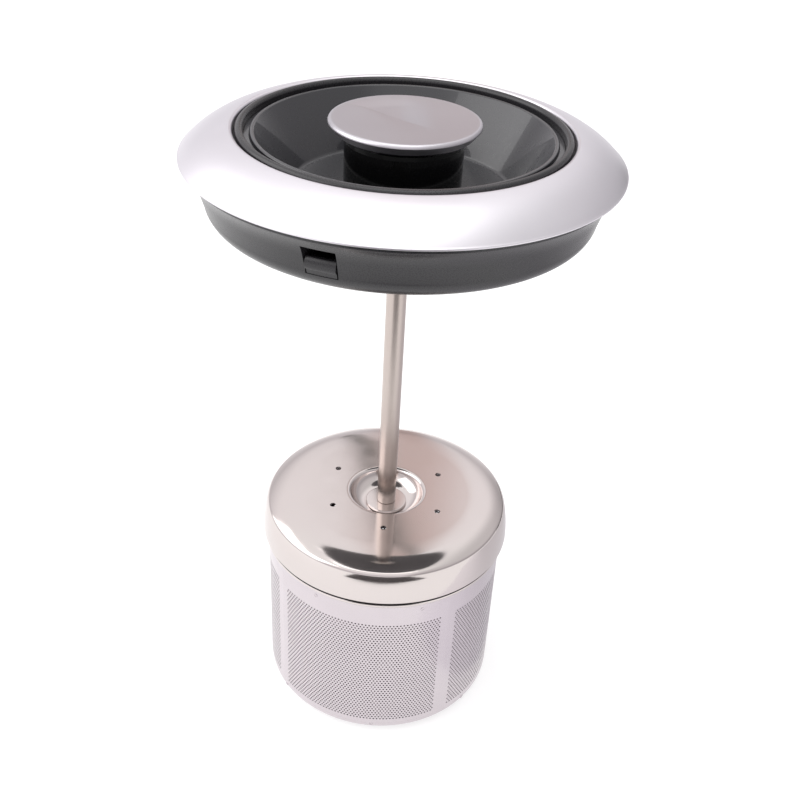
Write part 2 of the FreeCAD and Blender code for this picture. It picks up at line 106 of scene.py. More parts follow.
class Slot(Enum):
    """The record's material slots that the pieces made here stand for."""

    ALUMINIUM = "satin_aluminium"
    DARK = "dark_plastic"
    FUNNEL = "funnel_plastic"
    ROD = "rod_steel"
    POLISHED = "polished_steel"
    BASKET = "basket_steel"


# ---- nodes ------------------------------------------------------------------
def add_node(
    tree: bpy.types.NodeTree,
    kind: str,
    inputs: dict[str | int, object] | None = None,
    **settings: object,
) -> bpy.types.Node:
    """Adds a node with its settings, values and links.

    Args:
        tree: The shader or geometry tree that gets the node.
        kind: The node's type name.
        inputs: Value or source socket for each input, by name or index.
        **settings: The node's own properties.

    Returns:
        The new node.
    """
    node = tree.nodes.new(kind)
    for name, value in settings.items():
        setattr(node, name, value)
    for key, value in (inputs or {}).items():
        sources = value if isinstance(value, list) else [value]
        for source in sources:
            if isinstance(source, bpy.types.NodeSocket):
                tree.links.new(source, node.inputs[key])
            else:
                node.inputs[key].default_value = source
    return node


def linear(colour: str) -> tuple[float, float, float, float]:
    """Turns an sRGB hex colour such as "#C8C4C6" into linear values.

    Args:
        colour: The hex colour.

    Returns:
        Red, green and blue, and an alpha of 1.
    """
    channels = [int(colour[i : i + 2], 16) / 255 for i in (1, 3, 5)]
    light = [c / 12.92 if c <= 0.04045 else ((c + 0.055) / 1.055) ** 2.4 for c in channels]
    return (*light, 1.0)


def per_size(size: float) -> float:
    """Scale of a texture whose features are this many millimetres across."""
    return 1 / (size * MM)


# ---- finishes ---------------------------------------------------------------
GRAIN_LOW = 0.3         # most of a noise's values lie between these two
GRAIN_HIGH = 0.7


@dataclass(frozen=True)
class Finish:
    """A procedural material: two near colours, roughness range and a fine relief.

    The grain is a noise stretched by its three sizes, so equal sizes are a moulded or
    blasted texture and one small size gives lines from rolling, turning or grinding.
    """

    name: str
    dark: str
    light: str
    metallic: float
    rough_low: float
    rough_high: float
    grain: tuple[float, float, float]
    relief: float
    cloud: float = 18.0
    coat: float = 0.0
    coat_roughness: float = 0.03
    specular: float = 0.5
    anisotropic: float = 0.0

    def build(self) -> bpy.types.Material:
        """Makes the material, or finds it if it is made already.

        Returns:
            The material.
        """
        found = bpy.data.materials.get(self.name)
        if found:
            return found
        material = bpy.data.materials.new(self.name)
        material.use_nodes = True
        tree = material.node_tree
        shader = tree.nodes["Principled BSDF"]
        shader.inputs["Metallic"].default_value = self.metallic
        shader.inputs["Coat Weight"].default_value = self.coat
        shader.inputs["Coat Roughness"].default_value = self.coat_roughness
        shader.inputs["Specular IOR Level"].default_value = self.specular
        shader.inputs["Anisotropic"].default_value = self.anisotropic
        place = add_node(tree, "ShaderNodeTexCoord").outputs["Object"]
        clouds = add_node(
            tree, "ShaderNodeTexNoise", {"Vector": place, "Scale": per_size(self.cloud), "Detail": 2.0}
        )
        stretch = tuple(per_size(size) for size in self.grain)
        mapped = add_node(tree, "ShaderNodeMapping", {"Vector": place, "Scale": stretch})
        grain = add_node(
            tree,
            "ShaderNodeTexNoise",
            {"Vector": mapped.outputs["Vector"], "Scale": 1.0, "Detail": 3.0, "Roughness": 0.6},
        ).outputs["Fac"]
        tint = add_node(
            tree,
            "ShaderNodeMix",
            {"Factor": clouds.outputs["Fac"], 6: linear(self.dark), 7: linear(self.light)},
            data_type="RGBA",
        )
        rough = add_node(
            tree,
            "ShaderNodeMapRange",
            {
                "Value": grain,
                "From Min": GRAIN_LOW,
                "From Max": GRAIN_HIGH,
                "To Min": self.rough_low,
                "To Max": self.rough_high,
            },
        )
        bump = add_node(
            tree, "ShaderNodeBump", {"Height": grain, "Strength": 1.0, "Distance": self.relief * MM}
        )
        tree.links.new(tint.outputs[2], shader.inputs["Base Color"])
        tree.links.new(rough.outputs["Result"], shader.inputs["Roughness"])
        tree.links.new(bump.outputs["Normal"], shader.inputs["Normal"])
        return material


# Bead-blasted, then anodised: broad soft highlights with a very fine sparkle.
# The blast marks are drawn at 0.35 mm, coarser than the real 0.05 mm, so that they show.
BLASTED_ALUMINIUM = Finish(
    "blasted_anodised_aluminium", "#DEDBE0", "#E6E3E8", 1.0, 0.34, 0.40, (0.35, 0.35, 0.35), 0.002
)

# The knob's cap, blasted finer, in the ring's aluminium coloured a shade darker: painted shade, as its top
# mirrors the dimmer studio behind.
FINE_BLASTED_SHADED_ALUMINIUM = Finish(
    "fine_blasted_aluminium_painted_shade", "#C5C2C7", "#CDCACF", 1.0, 0.31, 0.36, (0.3, 0.3, 0.3), 0.002
)

# ABS from a spark-eroded mould: matt, with a faint pebble that breaks up highlights.
SPARK_TEXTURED_ABS = Finish(
    "spark_textured_abs", "#242325", "#29282B", 0.0, 0.25, 0.31, (0.30, 0.30, 0.30), 0.002
)

# SAN from a polished mould: a soft sheen under a clear, mirror-like surface.
POLISHED_GREY_SAN = Finish(
    "polished_grey_san", "#212126", "#26262B", 0.0, 0.26, 0.32, (1.5, 1.5, 1.5), 0.0005, coat=0.6
)

# ABS from a polished mould, black: nothing shows but sharp highlights.
POLISHED_BLACK_ABS = Finish(
    "polished_black_abs", "#050505", "#080808", 0.0, 0.06, 0.10, (1.5, 1.5, 1.5), 0.0005
)

# Natural acetal, moulded: creamy and slightly waxy.
MOULDED_ACETAL = Finish(
    "moulded_acetal", "#D4D0C6", "#DDD9D0", 0.0, 0.35, 0.45, (0.5, 0.5, 0.5), 0.002
)

# Nitrile rubber, moulded: dull black.
MOULDED_NITRILE = Finish(
    "moulded_nitrile", "#111111", "#161616", 0.0, 0.6, 0.7, (0.3, 0.3, 0.3), 0.004
)

# Stainless bar, drawn through a die: faint lines along it that soften what it mirrors.
DRAWN_STAINLESS_BAR = Finish(
    "drawn_stainless_bar", "#BCB0AA", "#C8BEB8", 1.0, 0.29, 0.37, (0.15, 0.15, 9.0), 0.0003, cloud=14.0
)

# Stainless sheet, pressed and buffed: a mirror that is softened a little.
BUFFED_STAINLESS = Finish(
    "buffed_stainless_sheet", "#D0C8C5", "#D7CFCD", 1.0, 0.10, 0.13, (6.0, 6.0, 6.0), 0.0003, cloud=30.0
)

# Stainless sheet with a rolled satin finish: faint level lines round the basket.
ROLLED_STAINLESS = Finish(
    "rolled_stainless_sheet", "#CDC5C9", "#D4CCD0", 1.0, 0.20, 0.27, (14.0, 14.0, 0.40), 0.0002
)

# The basket's sheet coloured dark grey where shade falls: painted shade, on the wall's inside face that
# shows through the holes and on a band low on the neck.
SHADED_INSIDE_STAINLESS = Finish(
    "painted_shade_stainless", "#1E1A1B", "#262223", 1.0, 0.5, 0.6, (0.2, 0.2, 0.2), 0.001
)

# Polypropylene, moulded, dark grey: the plain underside, which the basket's lid mirrors.
MOULDED_POLYPROPYLENE = Finish(
    "moulded_polypropylene", "#444345", "#4A494B", 0.0, 0.42, 0.50, (0.5, 0.5, 0.5), 0.002
)

# Turned steel fasteners, plain.
TURNED_STEEL = Finish(
    "turned_steel", "#A9A6A3", "#B7B4B1", 1.0, 0.24, 0.34, (0.25, 0.25, 0.25), 0.0015
)


# ---- profiles ---------------------------------------------------------------
@dataclass(frozen=True)
class Corner:
    """A corner of a turned piece's section: radius, height and the radius it is rounded by."""

    r: float
    z: float
    rounding: float = 0.0


def smooth(share: float) -> float:
    """An even rise from 0 to 1 as the share goes from 0 to 1."""
    held = min(1.0, max(0.0, share))
    return held * held * (3 - 2 * held)


def bowed(start: Corner, end: Corner, bow: float, steps: int = 14) -> list[Corner]:
    """Corners along a circular arc between two others, which are left out.

    Args:
        start: Where the arc starts.
        end: Where it ends.
        bow: How far its middle stands off the straight line, to the left of the way.
        steps: Facets of the arc.

    Returns:
        The corners between start and end.
    """
    a = Vector((start.r, start.z))
    b = Vector((end.r, end.z))
    along = (b - a).normalized()
    across = Vector((-along.y, along.x))
    half = (b - a).length / 2
    radius = (half * half + bow * bow) / (2 * bow)
    centre = (a + b) / 2 + across * (bow - radius)
    reach = math.asin(half / abs(radius))
    corners = []
    for step in range(1, steps):
        angle = reach * (2 * step / steps - 1)
        point = centre + across * radius * math.cos(angle) + along * abs(radius) * math.sin(angle)
        corners.append(Corner(point.x, point.y))
    return corners


def quarter(start: Corner, end: Corner, side: int, steps: int = 10) -> list[Corner]:
    """A quarter-round from one corner to another, both of them included.

    Args:
        start: Where it starts.
        end: Where it ends.
        side: 1 where it stands out to the left of the way, -1 to the right.
        steps: Facets of the round.

    Returns:
        All of its corners.
    """
    chord = math.hypot(end.r - start.r, end.z - start.z)
    bow = side * chord * math.tan(math.radians(90 / 4)) / 2
    return [start, *bowed(start, end, bow, steps), end]


def sleeve(inner: float, outer: float, low: float, high: float, top_round: float = 0.0) -> list[Corner]:
    """Section of a plain sleeve, whose top edges may be rounded."""
    foot = [Corner(inner, low), Corner(outer, low)]
    return [*foot, Corner(outer, high, top_round), Corner(inner, high, top_round)]


def rounded(corners: Sequence[Corner], closed: bool) -> list[tuple[float, float]]:
    """Points of a section, with every rounded corner turned into a fine arc.

    Args:
        corners: The section's corners in order.
        closed: True where the last corner joins the first.

    Returns:
        Radius and height of each point.
    """
    points = []
    count = len(corners)
    for i, corner in enumerate(corners):
        here = Vector((corner.r, corner.z))
        if corner.rounding <= 0 or (not closed and i in (0, count - 1)):
            points.append((here.x, here.y))
            continue
        before = corners[i - 1]
        after = corners[(i + 1) % count]
        u = Vector((before.r, before.z)) - here
        v = Vector((after.r, after.z)) - here
        opening = u.angle(v)
        room = ROUNDING_ROOM * min(u.length, v.length)
        tangent = min(corner.rounding / math.tan(opening / 2), room)
        radius = tangent * math.tan(opening / 2)
        centre = here + (u.normalized() + v.normalized()).normalized() * radius / math.sin(opening / 2)
        first = here + u.normalized() * tangent - centre
        last = here + v.normalized() * tangent - centre
        sweep = math.atan2(first.x * last.y - first.y * last.x, first.dot(last))
        steps = max(2, math.ceil(math.degrees(abs(sweep)) / FILLET_STEP))
        for step in range(steps + 1):
            point = centre + Matrix.Rotation(sweep * step / steps, 2) @ first
            points.append((point.x, point.y))
    return points


# ---- meshes -----------------------------------------------------------------
def new_object(name: str, mesh: bpy.types.Mesh) -> bpy.types.Object:
    """Links a mesh into the scene as an object at the origin.

    Args:
        name: The object's name.
        mesh: Its mesh, in metres.

    Returns:
        The object.
    """
    thing = bpy.data.objects.new(name, mesh)
    bpy.context.scene.collection.objects.link(thing)
    return thing


def crisp(mesh: bpy.types.Mesh, angle: float = SHARP_ANGLE) -> None:
    """Shades a mesh smooth, with edges sharper than an angle kept crisp."""
    mesh.shade_smooth()
    mesh.set_sharp_from_angle(angle=math.radians(angle))


def closed_piece(name: str, shell: bmesh.types.BMesh) -> bpy.types.Object:
    """Turns a closed shell into an object, with its faces outwards and its edges crisp.

    Args:
        name: The object's name.
        shell: The shell, in metres.  It is freed.

    Returns:
        The object.
    """
    bmesh.ops.recalc_face_normals(shell, faces=shell.faces)
    mesh = bpy.data.meshes.new(name)
    shell.to_mesh(mesh)
    shell.free()
    crisp(mesh)
    return new_object(name, mesh)


def skinned(name: str, rings: Sequence[Sequence[Vector]], closed: bool) -> bpy.types.Object:
    """Makes a closed shell from rings of points about the Z axis.

    Args:
        name: The object's name.
        rings: Rings in order, each with the same number of points, or one point at a pole.
        closed: True where the last ring joins the first.

    Returns:
        The shell, with its faces outwards, in metres.
    """
    shell = bmesh.new()
    made = [[shell.verts.new(point * MM) for point in ring] for ring in rings]
    pairs = list(zip(made, made[1:]))
    if closed:
        pairs.append((made[-1], made[0]))
    for low, high in pairs:
        count = max(len(low), len(high))
        for i in range(count):
            j = (i + 1) % count
            corners = [low[i % len(low)], low[j % len(low)], high[j % len(high)], high[i % len(high)]]
            distinct = list(dict.fromkeys(corners))
            if len(distinct) > 2:
                shell.faces.new(distinct)
    bmesh.ops.remove_doubles(shell, verts=shell.verts, dist=WELD)
    return closed_piece(name, shell)


def turned(name: str, corners: Sequence[Corner], segments: int = SEGMENTS) -> bpy.types.Object:
    """Turns a section about the Z axis.

    Args:
        name: The object's name.
        corners: The section.  It is closed unless it starts and ends on the axis.
        segments: Facets round the piece.

    Returns:
        The turned piece.
    """
    closed = corners[0].r > 0 or corners[-1].r > 0
    rings = []
    for r, z in rounded(corners, closed):
        if r < ON_AXIS:
            rings.append([Vector((0, 0, z))])
            continue
        turns = (math.tau * i / segments for i in range(segments))
        rings.append([Vector((r * math.sin(t), -r * math.cos(t), z)) for t in turns])
    return skinned(name, rings, closed)


def evaluated(thing: bpy.types.Object) -> bpy.types.Object:
    """Applies every modifier of an object and keeps the result as its plain mesh.

    Args:
        thing: The object.

    Returns:
        The same object.
    """
    depsgraph = bpy.context.evaluated_depsgraph_get()
    mesh = bpy.data.meshes.new_from_object(thing.evaluated_get(depsgraph))
    thing.modifiers.clear()
    thing.data = mesh
    return thing


def cut_by(thing: bpy.types.Object, cutters: Sequence[bpy.types.Object]) -> bpy.types.Object:
    """Cuts closed cutters out of a piece and removes them.

    Args:
        thing: The piece.
        cutters: Closed shapes, cut in this order.

    Returns:
        The same piece.
    """
    for cutter in cutters:
        step = thing.modifiers.new("cut", "BOOLEAN")
        step.operation = "DIFFERENCE"
        step.solver = "EXACT"
        step.object = cutter
    evaluated(thing)
    for cutter in cutters:
        bpy.data.objects.remove(cutter)
    crisp(thing.data)
    return thing


def sector(
    name: str, corners: Sequence[Corner], middle: float, half: float, segments: int
) -> bpy.types.Object:
    """Turns a section through part of a circle, closed at both ends.

    Args:
        name: The object's name.
        corners: The closed section.
        middle: Angle of the sector's middle, from the front towards +X.
        half: Half of the angle it covers.
        segments: Facets along it.

    Returns:
        The sector, in metres.
    """
    points = rounded(corners, True)
    shell = bmesh.new()
    slices = []
    for i in range(segments + 1):
        t = math.radians(middle - half + 2 * half * i / segments)
        place = [Vector((r * math.sin(t), -r * math.cos(t), z)) * MM for r, z in points]
        slices.append([shell.verts.new(p) for p in place])
    for near, far in zip(slices, slices[1:]):
        for i in range(len(points)):
            j = (i + 1) % len(points)
            shell.faces.new((near[i], near[j], far[j], far[i]))
    shell.faces.new(slices[0])
    shell.faces.new(slices[-1])
    return closed_piece(name, shell)


def dress(
    thing: bpy.types.Object, finish: Finish | None, body: Body, slot: Slot, *nodes: str
) -> bpy.types.Object:
    """Gives a piece its finish and says what it rides on and stands for.

    Args:
        thing: The piece.
        finish: Its finish, or None where its tree has set it.
        body: The body it moves with.
        slot: The record's slot for its finish; not used.
        *nodes: The construction's nodes that it is shown for.

    Returns:
        The same piece.
    """
    if finish:
        thing.data.materials.clear()
        thing.data.materials.append(finish.build())
    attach(thing, body.value)
    if nodes:
        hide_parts(*nodes)
    return thing


# ---- the frame's sizes ------------------------------------------------------
def radius_of(node: str) -> float:
    """Radius of a round node, inside its faceted box."""
    low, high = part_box(node)
    return min(high.x - low.x, high.y - low.y) / 2 / MM


def foot_of(node: str) -> float:
    """Lowest height of a node."""
    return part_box(node)[0].z / MM


def top_of(node: str) -> float:
    """Highest height of a node."""
    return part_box(node)[1].z / MM


# ---- geometry node trees ----------------------------------------------------
class TreeInputs:
    """Named inputs of a geometry tree, and their values on a modifier."""

    def __init__(self, name: str, inputs: dict[str, tuple[str, object]]) -> None:
        """Makes an empty tree with its inputs.

        Args:
            name: The tree's name.
            inputs: Socket type and value for each input's name.
        """
        self.tree = bpy.data.node_groups.new(name, "GeometryNodeTree")
        self.values = {}
        self.tree.interface.new_socket("Geometry", in_out="INPUT", socket_type="NodeSocketGeometry")
        for label, (kind, value) in inputs.items():
            socket = self.tree.interface.new_socket(label, in_out="INPUT", socket_type=kind)
            self.values[socket.identifier] = value
        self.tree.interface.new_socket("Geometry", in_out="OUTPUT", socket_type="NodeSocketGeometry")
        self.start = self.tree.nodes.new("NodeGroupInput")

    def socket(self, label: str) -> bpy.types.NodeSocket:
        """The tree's input of that name."""
        return self.start.outputs[label]

    def add(
        self, kind: str, inputs: dict[str | int, object] | None = None, **settings: object
    ) -> bpy.types.NodeSocket:
        """The first output of a node that is added to the tree."""
        return add_node(self.tree, kind, inputs, **settings).outputs[0]

    def end(self, geometry: bpy.types.NodeSocket) -> None:
        """Ends the tree with a geometry."""
        end = self.tree.nodes.new("NodeGroupOutput")
        self.tree.links.new(geometry, end.inputs[0])

    def finish(self, geometry: bpy.types.NodeSocket) -> None:
        """Ends the tree: instances made real, then the material.

        Args:
            geometry: What the tree has made.
        """
        real = self.add("GeometryNodeRealizeInstances", {0: geometry})
        material = self.socket("Material")
        self.end(self.add("GeometryNodeSetMaterial", {"Geometry": real, "Material": material}))

    def run_on(self, thing: bpy.types.Object) -> bpy.types.Object:
        """Runs the tree on an object and keeps the plain result.

        Args:
            thing: The object.

        Returns:
            The same object.
        """
        step = thing.modifiers.new("nodes", "NODES")
        step.node_group = self.tree
        for identifier, value in self.values.items():
            step[identifier] = value
        evaluated(thing)
        crisp(thing.data)
        return thing


FLOAT = "NodeSocketFloat"
WHOLE = "NodeSocketInt"
MATERIAL = "NodeSocketMaterial"
MATH = "ShaderNodeMath"


def empty_object(name: str) -> bpy.types.Object:
    """An object with no mesh yet, for a tree to fill."""
    return new_object(name, bpy.data.meshes.new(name))


# ---- lid --------------------------------------------------------------------
@dataclass(frozen=True)
class Lid:
    """The jug lid: aluminium ring, moulded housing, funnel and base."""

    ring_inner: float = 45.5
    ring_crown: float = 1.2
    ring_seat: float = 1.9
    ring_edge: float = 0.6
    ring_round: float = 1.0
    bead_gap: float = 0.55
    bead_width: float = 2.2
    bead_height: float = 1.1
    straight_edge: float = 1.6
    flare_width: float = 3.4
    flare_height: float = 5.7
    flare_hollow: float = 0.43
    cone_width: float = 1.3
    cone_height: float = 4.1
    curve_width: float = 3.2
    curve_bulge: float = 0.75
    toe_wall: float = 1.2
    ledge: float = 2.0
    wall: float = 2.0
    window_foot: float = 3.6
    window_height: float = 8.1
    window_width: float = 8.8
    latch_angle: float = -18.2
    lip_radius: float = 41.1
    lip_width: float = 1.1
    lip_drop: float = 1.0
    flange_drop: float = 2.2
    flange: float = 1.4
    spigot_gap: float = 0.1
    floor_depth: float = 17.0
    floor_radius: float = 30.4
    floor_wall: float = 1.8
    bore: float = 5.05
    boss: float = 9.25

    def seat(self, radius: float) -> float:
        """Height of the ring's conical seat at a radius.

        Args:
            radius: The radius.

        Returns:
            The height there.
        """
        outer = radius_of("trim_ring")
        low = foot_of("trim_ring")
        high = top_of("trim_ring") - self.ring_seat
        return low + (high - low) * (outer - radius) / (outer - self.ring_inner)

    def ring(self) -> bpy.types.Object:
        """The crowned ring with its thin rolled edge.

        Returns:
            The ring.
        """
        outer = radius_of("trim_ring")
        low = foot_of("trim_ring")
        top = top_of("trim_ring")
        edge = Corner(outer - self.ring_edge / 3, low + self.ring_edge)
        inner = Corner(self.ring_inner + self.ring_round, top)
        section = [
            Corner(outer, low, 0.1),
            *quarter(Corner(outer, low + self.ring_edge / 2), edge, -1, 4),
            *bowed(edge, inner, -self.ring_crown, 40),
            *quarter(inner, Corner(self.ring_inner, top - self.ring_round), -1),
            Corner(self.ring_inner, self.seat(self.ring_inner)),
        ]
        ring = turned("lid_ring", section, WIDE_SEGMENTS)
        return dress(ring, BLASTED_ALUMINIUM, Body.LID, Slot.ALUMINIUM, "trim_ring")

    def skirt(self) -> list[Corner]:
        """The outside of the housing's skirt, from the ring's seat down.

        Returns:
            Its corners, from the top down.
        """
        outer = radius_of("lid_housing")
        bottom = foot_of("lid_housing")
        edge = foot_of("trim_ring") + self.ring_edge / 2 - self.straight_edge
        straight = Corner(outer, edge, 0.5)
        neck = Corner(outer - self.flare_width, edge - self.flare_height)
        shoulder = Corner(neck.r - self.cone_width, neck.z - self.cone_height)
        toe = Corner(shoulder.r - self.curve_width, bottom, 0.5)
        return [
            Corner(outer, self.seat(outer)),
            straight,
            *bowed(straight, neck, -self.flare_hollow, 10),
            neck,
            shoulder,
            *bowed(shoulder, toe, self.curve_bulge, 12),
            toe,
        ]

    def cone(self, z: float) -> float:
        """Radius of the skirt's cone at a height.

        Args:
            z: The height.

        Returns:
            The radius there.
        """
        neck_radius = radius_of("lid_housing") - self.flare_width
        neck = foot_of("trim_ring") + self.ring_edge / 2 - self.straight_edge - self.flare_height
        return neck_radius - self.cone_width * (neck - z) / self.cone_height

    def window(self, turn: float) -> bpy.types.Object:
        """The cutter for a latch window.

        Args:
            turn: Its angle from the front.

        Returns:
            A closed block through the skirt.
        """
        bottom = foot_of("lid_housing") + self.window_foot
        top = bottom + self.window_height
        outer = radius_of("trim_ring")
        shoulder = outer - self.flare_width - self.cone_width
        inner = shoulder - 3 * self.wall
        half = math.degrees(self.window_width / 2 / shoulder)
        return sector("window", sleeve(inner, outer, bottom, top), turn, half, 8)

    def housing(self) -> bpy.types.Object:
        """The moulded housing with its bead, skirt and latch windows.

        Returns:
            The housing.
        """
        skirt = self.skirt()
        shoulder = skirt[-1].r
        bottom = foot_of("lid_housing")
        plate = top_of("lid_base")
        roof_radius = radius_of("lid_housing") - self.flare_width - self.wall
        roof = self.seat(roof_radius) - self.wall
        bead_outer = self.ring_inner - self.bead_gap
        bead_inner = bead_outer - self.bead_width
        bead_foot = top_of("lid_housing") - self.bead_height
        seat = top_of("trim_ring") - self.flange_drop - self.flange
        ledge = self.lip_radius - self.lip_width / 2
        bead_start = Corner(bead_inner, bead_foot)
        bead_end = Corner(bead_outer, bead_foot)
        section = [
            *skirt,
            Corner(shoulder - self.toe_wall, bottom, 0.2),
            Corner(shoulder - self.toe_wall, plate),
            Corner(shoulder - self.toe_wall - self.ledge, plate),
            Corner(roof_radius, roof, 1.0),
            Corner(ledge, roof),
            Corner(ledge, seat),
            Corner(bead_inner, seat),
            bead_start,
            *bowed(bead_start, bead_end, self.bead_height, 16),
            bead_end,
            Corner(bead_outer, self.seat(bead_outer)),
        ]
        body = turned("lid_housing_shell", section, WIDE_SEGMENTS)
        cut_by(body, [self.window(self.latch_angle), self.window(self.latch_angle + 180)])
        return dress(body, SPARK_TEXTURED_ABS, Body.LID, Slot.DARK, "lid_housing")

    def funnel(self) -> bpy.types.Object:
        """The gloss funnel with its lip, flange and floor.

        Returns:
            The funnel.
        """
        lip = top_of("trim_ring") - self.lip_drop
        flange = top_of("trim_ring") - self.flange_drop
        floor = top_of("trim_ring") - self.floor_depth
        under = floor - self.floor_wall
        edge = radius_of("funnel_bowl")
        spigot = self.lip_radius - self.lip_width / 2 - self.spigot_gap
        section = [
            Corner(self.bore, floor),
            Corner(self.floor_radius, floor, 1.6),
            Corner(self.lip_radius - self.lip_width, lip, 0.6),
            Corner(self.lip_radius, lip, 0.5),
            Corner(self.lip_radius, flange, 0.2),
            Corner(edge, flange),
            Corner(edge, flange - self.flange),
            Corner(spigot, flange - self.flange),
            Corner(self.floor_radius + self.floor_wall / 2, under),
            Corner(self.boss, under),
            Corner(self.boss, foot_of("funnel_bowl")),
            Corner(self.bore, foot_of("funnel_bowl")),
        ]
        funnel = turned("lid_funnel", section)
        return dress(funnel, POLISHED_GREY_SAN, Body.LID, Slot.FUNNEL, "funnel_bowl")

    def build(self) -> list[bpy.types.Object]:
        """Makes the lid's pieces."""
        return [self.ring(), self.housing(), self.funnel()]


@dataclass(frozen=True)
class LatchFinger:
    """A sprung finger in a window of the skirt."""

    body: Body
    angle: float
    lid: Lid
    slot_width: float = 0.45
    thickness: float = 1.8
    nose_height: float = 3.1
    nose_proud: float = 1.1
    hook: float = 0.55
    hook_lift: float = 0.05
    foot_gap: float = 0.01
    shoulder_height: float = 4.6

    def build(self) -> bpy.types.Object:
        """Makes the finger: flush foot and rounded nose.

        Returns:
            The finger.
        """
        root = foot_of(self.body.value)
        top = top_of(self.body.value)
        nose = top - self.nose_height
        inner_top = self.lid.cone(top) - self.thickness
        crest = Corner(self.lid.cone(top) - self.thickness / 2, top)
        start = Corner(self.lid.cone(nose), nose)
        hook = Corner(start.r + self.hook, nose + self.hook_lift, 0.1)
        window = foot_of("lid_housing") + self.lid.window_foot
        section = [
            Corner(self.lid.cone(root) - self.thickness, root),
            Corner(self.lid.cone(window), window + self.foot_gap),
            start,
            hook,
            *bowed(hook, crest, -self.nose_proud / 2, 14),
            crest,
            Corner(inner_top, top),
        ]
        shoulder = self.lid.cone(foot_of("lid_housing") + self.shoulder_height)
        half = math.degrees((self.lid.window_width / 2 - self.slot_width) / shoulder)
        finger = sector(self.body.value + "_finger", section, self.angle, half, 10)
        return dress(finger, SPARK_TEXTURED_ABS, self.body, Slot.DARK, self.body.value)


# ---- plunger ----------------------------------------------------------------
@dataclass(frozen=True)
class KnobCap:
    """The knob's satin cap, with a crease pressed into its top.

    The crease runs in from the rim on the left, then bends to the front.  The top lies
    lowest along it.  It climbs back steeply in front of the crease and gently behind it.
    """

    dish: float = 0.6
    dish_bow: float = 0.12
    edge_width: float = 1.1
    edge_height: float = 1.0
    edge_bulge: float = 0.3
    bevel: float = 2.0
    rim_width: float = 1.2
    thickness: float = 1.1
    deck_rise: float = 0.05
    depth_left: float = 0.42
    depth_right: float = 0.62
    reach_left: float = 0.55
    reach_right: float = 2.2
    reach_back: float = 20.0
    run: float = 8.9
    bend: float = -12.0
    bend_rate: float = 0.314
    bend_power: float = 1.297
    fade_start: float = -2.0
    fade_end: float = 8.0
    rim_start: float = 12.0
    rim_end: float = 18.8

    def drop(self, x: float, y: float) -> float:
        """How far the crease lowers the top at a place.

        Args:
            x: How far right of the middle.
            y: How far behind it.

        Returns:
            The drop.
        """
        past = max(0.0, x - self.bend)
        line = self.run - self.bend_rate * past**self.bend_power
        slope = self.bend_rate * self.bend_power * past ** (self.bend_power - 1)
        ahead = (line - y) / math.hypot(1, slope)
        share = smooth((x - self.bend) / -self.bend)
        depth = self.depth_left + (self.depth_right - self.depth_left) * share
        reach = self.reach_left + (self.reach_right - self.reach_left) * share
        hollow = math.exp(-ahead / reach) if ahead > 0 else 1 - smooth(-ahead / self.reach_back)
        fade = 1 - smooth((x - self.fade_start) / (self.fade_end - self.fade_start))
        rim = 1 - smooth((math.hypot(x, y) - self.rim_start) / (self.rim_end - self.rim_start))
        return depth * hollow * fade * rim

    def build(self) -> bpy.types.Object:
        """Makes the cap from fine rings, each point lowered by the crease.

        Returns:
            The cap.
        """
        radius = radius_of("knob_cap")
        foot = foot_of("knob_cap")
        top = top_of("knob_cap")
        middle = top - self.dish
        deck = middle + self.deck_rise - self.thickness
        edge = Corner(radius, top - self.edge_height)
        centre = Corner(0.0, middle)
        lip = Corner(radius - self.edge_width, top)
        section = [
            centre,
            *bowed(centre, lip, -self.dish_bow, 72),
            lip,
            *bowed(lip, edge, self.edge_bulge, 10),
            edge,
            Corner(radius - self.bevel, foot, 0.2),
            Corner(radius - self.bevel - self.rim_width, foot),
            Corner(radius - self.bevel - self.rim_width, deck),
            Corner(0.0, deck),
        ]
        rings = []
        for r, z in rounded(section, False):
            if r < ON_AXIS:
                drop = self.drop(0.0, 0.0) if z > deck else 0.0
                rings.append([Vector((0, 0, z - drop))])
                continue
            ring = []
            for i in range(CAP_SEGMENTS):
                t = math.tau * i / CAP_SEGMENTS
                x, y = r * math.sin(t), -r * math.cos(t)
                drop = self.drop(x, y) if z >= middle - TOUCH else 0.0
                ring.append(Vector((x, y, z - drop)))
            rings.append(ring)
        cap = skinned("knob_top", rings, False)
        return dress(cap, FINE_BLASTED_SHADED_ALUMINIUM, Body.PLUNGER, Slot.ALUMINIUM, "knob_cap")


@dataclass(frozen=True)
class Rod:
    """The lifting rod and the washer at its foot."""

    stud: float = 2.0
    foot: float = 69.3
    bore: float = 2.1

    def build(self) -> list[bpy.types.Object]:
        """Makes the rod and its washer.

        Returns:
            The two pieces.
        """
        radius = radius_of("lift_rod")
        tip = foot_of("lift_rod")
        end = top_of("lift_rod")
        bar = [
            Corner(0.0, tip),
            Corner(self.stud, tip, 0.3),
            Corner(self.stud, self.foot),
            Corner(radius, self.foot, 0.25),
            Corner(radius, end, 0.3),
            Corner(0.0, end),
        ]
        low, high = foot_of("rod_washer"), top_of("rod_washer")
        disc = [
            Corner(self.bore, low),
            Corner(radius_of("rod_washer"), low, 0.12),
            Corner(radius_of("rod_washer"), high, 0.22),
            Corner(self.bore, high),
        ]
        rod = turned("rod_bar", bar, FINE_SEGMENTS)
        washer = turned("rod_foot_washer", disc, FINE_SEGMENTS)
        return [
            dress(rod, DRAWN_STAINLESS_BAR, Body.PLUNGER, Slot.ROD, "lift_rod"),
            dress(washer, BUFFED_STAINLESS, Body.PLUNGER, Slot.POLISHED, "rod_washer"),
        ]


